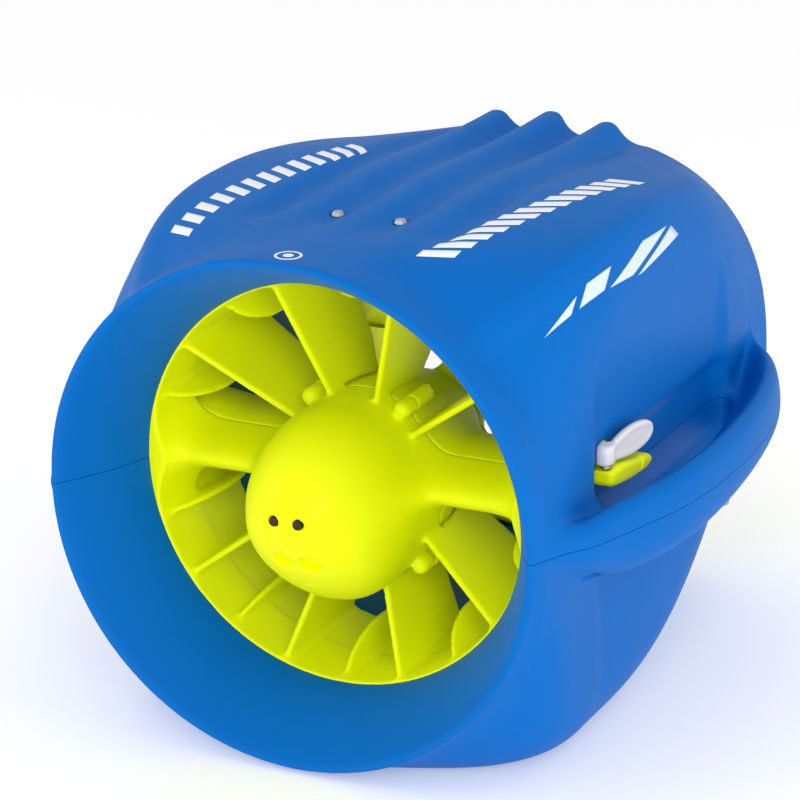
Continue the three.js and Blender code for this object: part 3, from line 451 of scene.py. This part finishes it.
def hull(x, y, z):
    """Both hull mouldings as one body."""
    side = np.abs(x)
    body = join(hull_body(x, y, z), ridges(x, y, z), 0.07)
    body = cut(body, valleys(x, y, z), 0.06)
    body = cut(body, palm_recess(x, y, z), 0.035)
    body = join(body, wing(x, y, z), 0.08)
    body = cut(body, hand_slot(x, y, z), 0.035)
    for centre, radii in DENTS:
        body = cut(body, ellipsoid(side, y, z, centre, radii), 0.012)
    body = cut(body, np.hypot(x, z) - bore(y), 0.05)
    body = meet(meet(body, y - REAR, 0.03), -y, 0.01)
    body = meet(meet(body, BASE - z, 0.02), z - TOP, 0.01)
    seat = np.hypot(side - TOP_SCREW.x, y - TOP_SCREW.y) - TOP_SEAT["radius"]
    body = cut(body, meet(seat, TOP_SEAT["floor"] - z, 0.005), 0.008)
    for place in HULL_SCREWS:
        seat = np.hypot(x - place.x, y - place.y) - HULL_SEAT["radius"]
        body = cut(body, meet(seat, z - place.z - HULL_SEAT["above_middle"], 0.005), 0.008)
    return body


def half_hull(name, node, whole, keep_above):
    """The part of the hull mesh on one side of the parting plane, closed off flat."""
    mesh = bmesh.new()
    mesh.from_mesh(whole.data)
    level = CREST.z + (PARTING if keep_above else -PARTING) * RING
    bmesh.ops.bisect_plane(
        mesh, geom=mesh.verts[:] + mesh.edges[:] + mesh.faces[:], dist=1e-7, plane_co=(0, 0, level),
        plane_no=(0, 0, 1), clear_inner=keep_above, clear_outer=not keep_above)
    rim = [edge for edge in mesh.edges if edge.is_boundary]
    bmesh.ops.triangle_fill(mesh, edges=rim, use_beauty=True)
    for edge in rim:
        edge.smooth = False
    bmesh.ops.recalc_face_normals(mesh, faces=mesh.faces[:])
    data = bpy.data.meshes.new(name)
    mesh.to_mesh(data)
    mesh.free()
    piece = bpy.data.objects.new(name, data)
    bpy.context.scene.collection.objects.link(piece)
    data.materials.clear()
    data.materials.append(BLUE)
    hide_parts(node)
    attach(piece, "hull")
    return piece


hull_box = ((-1.4, -0.03, BASE - 0.03), (1.4, REAR + 0.03, 1.03))
whole_hull = skin("whole_hull", hull, *hull_box, COARSE, BLUE)
half_hull("upper_hull_skin", "upper_shell", whole_hull, True)
half_hull("lower_hull_skin", "lower_shell", whole_hull, False)
bpy.data.objects.remove(whole_hull)

# ------------------------------------------------------------------ pod, struts and vanes
NOSE_WIDEST = 57.2 * MM
NOSE = {"width": 40 * MM, "height": 48.4 * MM, "length": 56.6 * MM, "drop": 9.5 * MM}
CHIN = {"y": 12.4 * MM, "z": -24.3 * MM, "slant": math.radians(40), "proud": 4.3 * MM}
STRUT = {"centre": 97 * MM, "half_chord": 39 * MM, "half_thick": 12 * MM}
BOSSES = [middle(f"pod_screw_{i}") for i in range(1, 5)]
BOSS_R = 4.2 * MM
BOSS_FRONT, BOSS_REAR = 72 * MM, 106 * MM
POD_SEAT = {"radius": 3.3 * MM, "floor": 102 * MM}
SHAFT_SEAT = {"radius": 8.3 * MM, "floor": 150 * MM}
NEAR_BAND = 0.6  # the front guard ends square with the band outside this radius


def nose(x, y, z):
    """Half an egg with a slanted chin, carried straight back behind its widest place."""
    ahead = np.minimum(y - NOSE_WIDEST, 0)
    size = np.sqrt((x / NOSE["width"]) ** 2 + ((z + NOSE["drop"]) / NOSE["height"]) ** 2
                   + (ahead / NOSE["length"]) ** 2)
    chin = (CHIN["y"] - y) * math.cos(CHIN["slant"]) - (z - CHIN["z"]) * math.sin(CHIN["slant"])
    return meet((size - 1) * NOSE["width"], chin - CHIN["proud"], 20 * MM)


# The pod's sections in millimetres: place, half width, half height, and middle under the axis.
POD_Y = [70, 85, 100, 120, 140, 152, 159, 162]
POD_WIDTH = [40, 40, 39.4, 36, 30.5, 26, 21.5, 17]
POD_HEIGHT = [48.4, 48.4, 47.2, 42, 33.5, 27, 21.5, 17]
POD_DROP = [9.5, 9.5, 9.2, 7, 3.5, 1, 0, 0]


def pod(x, y, z):
    width, height, drop = [
        MM * np.interp(y / MM, POD_Y, sizes) for sizes in (POD_WIDTH, POD_HEIGHT, POD_DROP)
    ]
    size = np.sqrt((x / width) ** 2 + ((z + drop) / height) ** 2)
    return meet((size - 1) * width, y - POD_END, 0.02)


def strut(x, y, z):
    """The flat arms from the pod to the band, swelling where they join the band."""
    side = np.abs(x)
    swell = 1.12 - 0.12 * smooth(0.16, 0.35, side) + 0.5 * smooth(0.58, 0.82, side)
    along = np.abs(y - STRUT["centre"]) / STRUT["half_chord"]
    thick = STRUT["half_thick"] * swell
    return (np.sqrt(along ** 1.7 + (z / thick) ** 2) - 1) * STRUT["half_thick"]


BAND = {"radius": DUCT + 1.2 * MM, "half_thick": 1.3 * MM}


def band(x, y, z):
    """The ring that lines the duct."""
    wall = np.abs(np.hypot(x, z) - BAND["radius"]) - BAND["half_thick"]
    return meet(meet(wall, BAND_START - y, 0.004), y - BAND_END, 0.004)


VANES = 10
VANE_HALF, TAB_HALF = 1.5 * MM, 1.25 * MM  # half their thickness
INTO_BAND = DUCT + 1.5 * MM  # vanes and tabs end inside the band
TAB = {"depth": 0.15, "middle": 0.72, "half_length": 0.265}


def vanes(x, y, z):
    """Radial plates from the pod to the band; the two struts stand in place of two of them."""
    out, across, number = sector(x, z, VANES)
    leading = 0.43 + 0.3 * (DUCT - out)
    trailing = np.minimum(0.95 + 0.27 * (out - 0.28), 0.985)
    plate = meet(np.abs(across) - VANE_HALF, leading - y, 0.015)
    plate = meet(meet(plate, y - trailing, 0.008), 0.2 - out, 0.01)
    plate = np.maximum(plate, out - INTO_BAND)
    return np.where(number % (VANES // 2) == 0, 1.0, plate)


def tabs(x, y, z):
    """Half-oval fins on the band, one between each two vanes."""
    out, across, _ = sector(x, z, VANES, math.pi / VANES)
    depth = (DUCT + 0.01 - out) / TAB["depth"]
    along = (y - TAB["middle"] - 0.25 * (DUCT - out)) / TAB["half_length"]
    oval = (np.sqrt(depth ** 2 + along ** 2) - 1) * TAB["depth"]
    plate = meet(oval, np.abs(across) - TAB_HALF, 0.014)
    return np.maximum(plate, out - INTO_BAND)


def bosses(x, y, z, start, end):
    """The screw bosses round the pod, between two places along the axis."""
    whole = 1.0
    for place in BOSSES:
        whole = np.minimum(whole, capsule_along_y(x, y, z, (place.x, place.z), start, end, BOSS_R))
    return whole


CONTACT = middle("charge_contact_right")
CONTACT_HOLE = {"radius": 2.6 * MM, "end": 12 * MM}
POCKET = {"centre": (7 * MM, 11.8 * MM, CHIN["z"]), "radii": (5.4 * MM, 9.5 * MM, 4.8 * MM)}
BAR_HALF = 1.9 * MM
DIMPLE = {"centre": (0, 24 * MM, -39.5 * MM), "radii": (1.6 * MM,) * 3}


def nose_openings(x, y, z):
    """Two contact holes, two tether pockets with a bar between them, and a drain dimple."""
    side = np.abs(x)
    hole = np.hypot(side - CONTACT.x, z - CONTACT.z) - CONTACT_HOLE["radius"]
    contact = meet(hole, y - CONTACT_HOLE["end"], 0.004)
    pocket = ellipsoid(side, y, z, POCKET["centre"], POCKET["radii"])
    pocket = meet(pocket, BAR_HALF - side, 0.006)
    dimple = ellipsoid(x, y, z, DIMPLE["centre"], DIMPLE["radii"])
    return contact, pocket, dimple


def front_guard(x, y, z):
    """One moulding: the nose and the strut fronts up to the seam, the band, vanes and tabs."""
    face = SEAM - SEAM_HALF
    core = join(nose(x, y, z), strut(x, y, z), 0.09)
    core = join(core, bosses(x, y, z, BOSS_FRONT + BOSS_R, 1), 0.012)
    core = join(core, band(x, y, z), 0.14)
    core = np.where(y < face + 0.03, meet(core, y - face, 0.004), 1.0)
    blades = join(vanes(x, y, z), tabs(x, y, z), 0.01)
    clearance = np.minimum(pod(x, y, z) - 0.8 * MM, bosses(x, y, z, SEAM, BOSS_REAR) - 1 * MM)
    blades = np.where(y > face, cut(blades, clearance, 0.004), blades)
    whole = join(join(blades, band(x, y, z), 0.03), core, 0.02)
    near_band = np.hypot(x, z) > NEAR_BAND
    whole = np.where(near_band, np.maximum(whole, BAND_START - y), whole)
    contact, pocket, dimple = nose_openings(x, y, z)
    whole = cut(whole, contact, 0.006)
    whole = cut(whole, pocket, 0.005)
    return cut(whole, dimple, 0.01)


def pod_rear(x, y, z):
    """The rear shell of the pod, with the rear halves of the struts."""
    face = SEAM + SEAM_HALF
    core = join(pod(x, y, z), strut(x, y, z), 0.09)
    core = join(core, bosses(x, y, z, 60 * MM, BOSS_REAR - BOSS_R), 0.012)
    core = meet(core, np.hypot(x, z) - (DUCT - 0.9 * MM), 0.02)
    for place in BOSSES:
        hole = np.hypot(x - place.x, z - place.z) - POD_SEAT["radius"]
        core = cut(core, meet(hole, POD_SEAT["floor"] - y, 0.004), 0.006)
    shaft_seat = meet(np.hypot(x, z) - SHAFT_SEAT["radius"], SHAFT_SEAT["floor"] - y, 0.004)
    return meet(cut(core, shaft_seat, 0.008), face - y, 0.006)


def replacing(piece, node, body="hull"):
    """Puts a piece in a CAD node's place, on its rigid body."""
    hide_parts(node)
    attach(piece, body)
    return piece


guard_box = ((-0.85, -0.02, -0.85), (0.85, BAND_END + 0.03, 0.85))
guard_skin = skin("front_guard_skin", front_guard, *guard_box, COARSE, YELLOW)
replacing(guard_skin, "front_guard")
pod_box = ((-0.83, SEAM - 0.02, -0.55), (0.83, POD_END + 0.02, 0.48))
pod_skin = skin("pod_rear_skin", pod_rear, *pod_box, COARSE, YELLOW)
replacing(pod_skin, "pod_rear")

# ------------------------------------------------------------------ propeller and rear guard
prop_low, prop_high = (units(corner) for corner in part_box("propeller"))
PROP = {"front": prop_low.y, "rear": prop_high.y, "radius": 86 * MM, "hub": 19 * MM, "bore": 3.4 * MM}
BLADES = 3
BLADE_FIRST = math.radians(90 - 22)
BLADE_ROOT = 13 * MM
BLADE_MIDDLE = PROP["front"] + 14 * MM
PITCH = 132 * MM  # how far a blade's screw line goes in one turn
SWEEP = 10 * MM  # how far a blade's tip leans back round the axis


def propeller(x, y, z):
    """Hub with three swept screw blades, thick at the root and thin at the tip."""
    radius = np.hypot(x, z)
    hub = ellipsoid(radius, y, 0 * z, (0, PROP["front"] + 0.06, 0), (PROP["hub"], 25 * MM, 1))
    hub = meet(hub, PROP["front"] - y, 0.02)
    hub = meet(hub, y - PROP["rear"], 0.02)
    out, across, _ = sector(x, z, BLADES, BLADE_FIRST)
    share = np.clip((out - BLADE_ROOT) / (PROP["radius"] - BLADE_ROOT), 0, 1)
    chord = (20 + 26 * np.sin(np.minimum(share * 1.25, 1) * math.pi / 2)) * MM
    chord = chord * (1 - 0.45 * share ** 4)
    chord = chord * np.sqrt(np.maximum(1 - smooth(0.8, 1.02, share) ** 2, 0.02))
    pitch = np.arctan2(PITCH, 2 * math.pi * np.maximum(out, 0.05))
    thick = (5.5 - 3.3 * share) * MM
    back = y - BLADE_MIDDLE
    along = -across * np.cos(pitch) + back * np.sin(pitch) + SWEEP * share ** 2
    through = across * np.sin(pitch) + back * np.cos(pitch)
    blade = (np.sqrt((along / (chord / 2)) ** 2 + (through / (thick / 2)) ** 2) - 1) * thick / 2
    blade = np.maximum(meet(blade, out - PROP["radius"], 0.01), 0.05 - out)
    whole = join(hub, blade, 0.05)
    return cut(whole, radius - PROP["bore"], 0.004)


rear_low, rear_high = (units(corner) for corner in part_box("rear_guard"))
RIM = {"radius": DUCT - 2.9 * MM, "half_thick": 1.7 * MM}
CAP_RADII = (17 * MM, 17.5 * MM, 1)
SPOKE = {"half_thick": 1.5 * MM, "inset": 5 * MM}
REAR_SCREWS = [middle(f"rear_screw_{i}") for i in range(1, 5)]
REAR_SCREW_HOLE = 1.9 * MM


def rear_guard(x, y, z):
    """Rim, ten spokes and a middle cap behind the propeller, with a hole for each screw."""
    radius = np.hypot(x, z)
    rim = meet(np.abs(radius - RIM["radius"]) - RIM["half_thick"], rear_low.y - y, 0.01)
    rim = meet(rim, y - rear_high.y, 0.01)
    cap = ellipsoid(radius, y, 0 * z, (0, (rear_low.y + rear_high.y) / 2, 0), CAP_RADII)
    out, across, _ = sector(x, z, VANES)
    spoke = meet(np.abs(across) - SPOKE["half_thick"], rear_low.y + SPOKE["inset"] - y, 0.02)
    spoke = meet(spoke, y - (rear_high.y - SPOKE["inset"]), 0.02)
    spoke = meet(spoke, out - RIM["radius"], 0.01)
    whole = join(join(rim, spoke, 0.03), cap, 0.05)
    for place in REAR_SCREWS:
        reach = math.hypot(place.x, place.z)
        aside = np.sqrt((y - place.y) ** 2 + ((x * place.z - z * place.x) / reach) ** 2)
        ahead = (x * place.x + z * place.z) / reach
        whole = cut(whole, meet(aside - REAR_SCREW_HOLE, 0.5 - ahead, 0.01), 0.004)
    return whole


prop_box = ((-0.72, PROP["front"] - 0.08, -0.72), (0.72, PROP["rear"] + 0.08, 0.72))
prop_skin = skin("propeller_skin", propeller, *prop_box, FINE, YELLOW)
replacing(prop_skin, "propeller", "propeller")
rear_box = (tuple(rear_low - Vector((0.02,) * 3)), tuple(rear_high + Vector((0.02,) * 3)))
rear_skin = skin("rear_guard_skin", rear_guard, *rear_box, COARSE, YELLOW)
replacing(rear_skin, "rear_guard")

# ------------------------------------------------------------------ triggers
PIVOT = middle("trigger_pin_right")
TRIGGER_YAW = math.radians(6)  # how far out a free paddle stands


def outline(*curves):
    """Points in ring units along cubic curves given in millimetres, for a closed outline. A
    straight edge joins one curve's end to the next one's start."""
    return [(y * MM, z * MM) for curve in curves for y, z in bezier(*curve)]


# Side views, y back and z up. The leaf's y is measured from the pin.
LEAF = outline(
    ((-3, 24.9), (4, 26.5), (9, 29.4), (19, 30.3)),
    ((19, 30.3), (31, 31.2), (43, 29), (43, 23.5)),
    ((43, 23.5), (43, 17.5), (33, 16.2), (24, 16.2)),
    ((24, 16.2), (13, 16.4), (6, 19), (-3, 20)),
) + [(-3 * MM, 20 * MM)]
FOOT = [(80 * MM, 16.4 * MM)] + outline(
    ((91, 16.4), (99, 15.6), (106, 13.6), (114, 12.2)),
    ((114, 12.2), (121, 11.2), (129, 10.6), (129, 7.2)),
    ((129, 7.2), (129, 4.4), (124, 3.6), (119, 3.8)),
    ((119, 3.8), (104, 4.4), (92, 6.4), (86, 7.6)),
    ((86, 7.6), (82, 8.4), (80, 9.5), (80, 12.5)),
)
BARREL = {"low": 19.6 * MM, "high": 28.4 * MM, "radius": 4 * MM}
PIN_HOLE = 1.57 * MM
PIN_HEAD = {"low": 25.3 * MM, "high": 27 * MM, "room": 3 * MM}
PADDLE_THICK = 4.2 * MM
DISH = 0.8 * MM  # how much thinner the leaf is inside its rim
FOOT_X = {"back": 117.3 * MM, "front": 129.5 * MM}
GROOVE = {"y": 115.5 * MM, "z": 8 * MM, "lean": 0.45, "half_wide": 0.9 * MM, "deep": 1.2 * MM}
POST = {"y": 91.5 * MM, "half_long": 3.5 * MM, "z": 20 * MM, "half_high": 7 * MM, "thick": 2.6 * MM}


def paddle(x, y, z):
    """Right paddle, drawn about its pin and turned out by its free angle."""
    across, along = x - PIVOT.x, y - PIVOT.y
    out = across * math.cos(TRIGGER_YAW) - along * math.sin(TRIGGER_YAW)
    back = across * math.sin(TRIGGER_YAW) + along * math.cos(TRIGGER_YAW)
    flat = outline_distance(back, z + 0 * back, LEAF)
    dish = DISH * smooth(0, -5 * MM, flat)
    leaf = meet(flat, np.abs(out + dish / 2) - PADDLE_THICK / 2 + dish / 2, 2.4 * MM)
    reach = np.hypot(out, back)
    level = np.abs(z - (BARREL["low"] + BARREL["high"]) / 2) - (BARREL["high"] - BARREL["low"]) / 2
    barrel = meet(reach - BARREL["radius"], level, 2.4 * MM)
    under_barrel = meet(reach - 5.5 * MM, z - BARREL["low"], 0.5 * MM)
    whole = join(cut(leaf, under_barrel, 0.6 * MM), barrel, 4 * MM)
    hole = meet(reach - PIN_HOLE, z - PIN_HEAD["high"], 0.3 * MM)
    height = np.maximum(PIN_HEAD["low"] - z, z - PIN_HEAD["high"])
    head = meet(reach - PIN_HEAD["room"], height, 0.3 * MM)
    return cut(whole, join(hole, head, 0.3 * MM), 0.3 * MM)


def trigger_base(x, y, z):
    """Right base: a slanted foot with two lobes, and a low post against the hull's wall."""
    foot = outline_distance(y + 0 * x, z + 0 * x, FOOT)
    centre = (FOOT_X["back"] + FOOT_X["front"]) / 2
    body = meet(foot, np.abs(x - centre) - (FOOT_X["front"] - FOOT_X["back"]) / 2, 3.4 * MM)
    off_line = y - GROOVE["y"] - GROOVE["lean"] * (z - GROOVE["z"])
    inward = np.maximum(FOOT_X["front"] - GROOVE["deep"] - x, 0)
    body = cut(body, np.hypot(off_line, inward) - GROOVE["half_wide"], 1.6 * MM)
    length, height = np.abs(y - POST["y"]) - POST["half_long"], np.abs(z - POST["z"]) - POST["half_high"]
    post = meet(length, height, 2 * MM)
    body = join(body, meet(post, x - FOOT_X["back"] - POST["thick"], 1 * MM), 1.5 * MM)
    body = cut(body, np.hypot(x - PIVOT.x, y - PIVOT.y) - 1.7 * MM, 0.4 * MM)
    return meet(body, FOOT_X["back"] - x, 0.4 * MM)


def mirrored(piece, name):
    """The same piece on the other side of the hull."""
    other = piece.copy()
    other.data = piece.data.copy()
    other.name = name
    for vertex in other.data.vertices:
        vertex.co.x = -vertex.co.x
    other.data.flip_normals()
    bpy.context.scene.collection.objects.link(other)
    return other


def around(node, margin):
    """A CAD node's box with a margin, in ring units."""
    low, high = (units(corner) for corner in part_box(node))
    return tuple(low - Vector((margin,) * 3)), tuple(high + Vector((margin,) * 3))


for kind, field, material, slot in (
        ("paddle", paddle, WHITE, "white_paddle"), ("base", trigger_base, YELLOW, "yellow_guard")):
    space = around(f"trigger_{kind}_right", 2 * MM)
    right = skin(f"trigger_{kind}_skin_right", field, *space, TINY, material)
    left = mirrored(right, f"trigger_{kind}_skin_left")
    for piece, side in ((right, "right"), (left, "left")):
        body = f"trigger_{side}" if kind == "paddle" else "hull"
        replacing(piece, f"trigger_{kind}_{side}", body)


# ------------------------------------------------------------------ printed marks
LIFT = 0.12 * MM  # how far a mark stands off the hull
FILM = 0.0001  # its thickness in metres


def printed(name, patches, material):
    """Thin printed marks that follow the hull. A patch is a function of two shares that gives a
    point near the hull, with the numbers of steps along each."""
    points, faces = [], []
    for patch, columns, rows in patches:
        start = len(points)
        points += [patch(i / columns, j / rows) for i in range(columns + 1) for j in range(rows + 1)]
        faces += [
            [start + (i + di) * (rows + 1) + j + dj for di, dj in ((0, 0), (1, 0), (1, 1), (0, 1))]
            for i in range(columns) for j in range(rows)
        ]
    points = pull(np.array(points, float), hull, 0.02, 12)
    slope = gradient(points, hull, 0.002)
    points += LIFT * slope / np.linalg.norm(slope, axis=1)[:, None]
    piece = to_object(name, points, faces, material)
    mesh = bmesh.new()
    mesh.from_mesh(piece.data)
    mesh.normal_update()
    outward = sum(face.normal.dot(Vector(slope[face.verts[0].index])) for face in mesh.faces)
    if outward < 0:
        bmesh.ops.reverse_faces(mesh, faces=mesh.faces[:])
    mesh.to_mesh(piece.data)
    mesh.free()
    film = piece.modifiers.new("film", "SOLIDIFY")
    film.thickness = FILM
    film.offset = -1
    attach(piece, "hull")
    return piece


def four_sided(corners):
    """A patch between four corners."""
    a, b, c, d = (np.array(corner, float) for corner in corners)
    return lambda s, t: (a * (1 - s) + b * s) * (1 - t) + (d * (1 - s) + c * s) * t


def ring_patch(centre, inner, outer):
    """A level ring patch between two radii."""
    cx, cy, cz = centre

    def at(s, t):
        angle, radius = 2 * math.pi * s, inner + (outer - inner) * t
        return (cx + radius * math.cos(angle), cy + radius * math.sin(angle), cz)
    return at


BARS = {"count": 13, "start": 0.38, "step": 0.095, "width": 0.058, "length": 0.12, "slant": 0.07}


def shoulder_bars(side, front, rear):
    """A row of narrow slanted bars along the top, from `front` to `rear` off the middle."""
    patches = []
    for i in range(BARS["count"]):
        start = BARS["start"] + BARS["step"] * i
        end = start + BARS["width"]
        inner = front + (rear - front) * i / (BARS["count"] - 1)
        outer = inner + BARS["length"]
        corners = [(side * inner, start, 0.97), (side * inner, end, 0.97),
                   (side * outer, end + BARS["slant"], 0.95), (side * outer, start + BARS["slant"], 0.95)]
        patches.append((four_sided(corners), 5, 12))
    return patches


# Each slash as four points of (y, z) below the shoulder. The first and the last are nearly pointed.
SLASHES = (
    ((0.38, 0.746), (0.56, 0.761), (0.625, 0.817), (0.61, 0.812)),
    ((0.615, 0.765), (0.79, 0.777), (0.88, 0.847), (0.7, 0.837)),
    ((0.83, 0.773), (1.01, 0.767), (1.4, 0.851), (1.16, 0.859)),
    ((1.05, 0.755), (1.09, 0.755), (1.48, 0.79), (1.44, 0.84)),
)


def side_slashes(side):
    """Four slashes along the hull's upper side."""
    return [(four_sided([(side * 0.93, y, z) for y, z in corners]), 10, 10) for corners in SLASHES]


ROUNDEL = (0, 0.12, 1.0)
for name, side, front, rear in (("right", 1, 0.38, 0.62), ("left", -1, 0.6, 0.42)):
    printed(f"shoulder_bars_{name}", shoulder_bars(side, front, rear), PRINT)
    printed(f"side_slashes_{name}", side_slashes(side), PALE_PRINT)
printed("top_roundel", [
    (ring_patch(ROUNDEL, 0.042, 0.052), 48, 2), (ring_patch(ROUNDEL, 0.002, 0.02), 32, 3),
], PRINT)


# ------------------------------------------------------------------ floor, light and camera
def soft_light(name, place, aim, size, power):
    """A round lamp of a size in metres and a power in watts, turned towards a point."""
    data = bpy.data.lights.new(name, "AREA")
    data.shape = "DISK"
    data.size = size
    data.energy = power
    light = bpy.data.objects.new(name, data)
    light.location = place
    light.rotation_euler = (Vector(aim) - Vector(place)).to_track_quat("-Z", "Y").to_euler()
    bpy.context.scene.collection.objects.link(light)


def studio():
    """White surroundings, a pale floor that glows a little, and three soft lamps."""
    world = bpy.data.worlds.new("studio")
    world.use_nodes = True
    backdrop = world.node_tree.nodes["Background"]
    backdrop.inputs["Color"].default_value = (1, 1, 1, 1)
    backdrop.inputs["Strength"].default_value = 0.75
    bpy.context.scene.world = world

    mesh = bpy.data.meshes.new("floor")
    half = 6
    corners = [(-half, -half, 0), (half, -half, 0), (half, half, 0), (-half, half, 0)]
    mesh.from_pydata(corners, [], [(0, 1, 2, 3)])
    floor = bpy.data.objects.new("floor", mesh)
    floor.location.z = cad_low.z
    pale = bpy.data.materials.new("pale_floor")
    pale.use_nodes = True
    inputs = pale.node_tree.nodes["Principled BSDF"].inputs
    inputs["Base Color"].default_value = (0.9, 0.9, 0.9, 1)
    inputs["Roughness"].default_value = 0.9
    inputs["Emission Color"].default_value = (1, 1, 1, 1)
    inputs["Emission Strength"].default_value = 0.25
    mesh.materials.append(pale)
    bpy.context.scene.collection.objects.link(floor)

    aim = CREST + Vector((0, 0.1, 0))
    soft_light("key", (0.9, -1.7, 0.8), aim, 1.2, 15)
    soft_light("fill", (-1.4, -0.9, 0.6), aim, 1.0, 5)
    soft_light("side", (1.8, 0.1, 0.5), aim, 1.0, 4)


AZIMUTH = math.radians(27.13)
ELEVATION = math.radians(20.03)
ROLL = -0.0225  # how much of `up` the picture's level direction gains
DISTANCE = 12.5  # camera to crest, in ring units
ASIDE, ABOVE = 0.4325, 0.4533  # where the camera's line passes the crest, in ring units
FOCAL_MM = 154.2


def camera():
    """The photograph's view: a long lens, a little to the right and above."""
    back = Vector((math.sin(AZIMUTH) * math.cos(ELEVATION), -math.cos(AZIMUTH) * math.cos(ELEVATION),
                   math.sin(ELEVATION)))
    right = Vector((math.cos(AZIMUTH), math.sin(AZIMUTH), 0))
    up = back.cross(right)
    level = (right + ROLL * up).normalized()
    upright = back.cross(level)
    data = bpy.data.cameras.new("photo_camera")
    data.sensor_width = 36
    data.lens = FOCAL_MM
    data.clip_end = 50
    seer = bpy.data.objects.new("photo_camera", data)
    place = CREST + RING * (ASIDE * level + ABOVE * upright + DISTANCE * back)
    seer.matrix_world = Matrix.Translation(place) @ Matrix((level, upright, back)).transposed().to_4x4()
    bpy.context.scene.collection.objects.link(seer)
    bpy.context.scene.camera = seer


bpy.context.scene.view_settings.view_transform = "Standard"
studio()
camera()
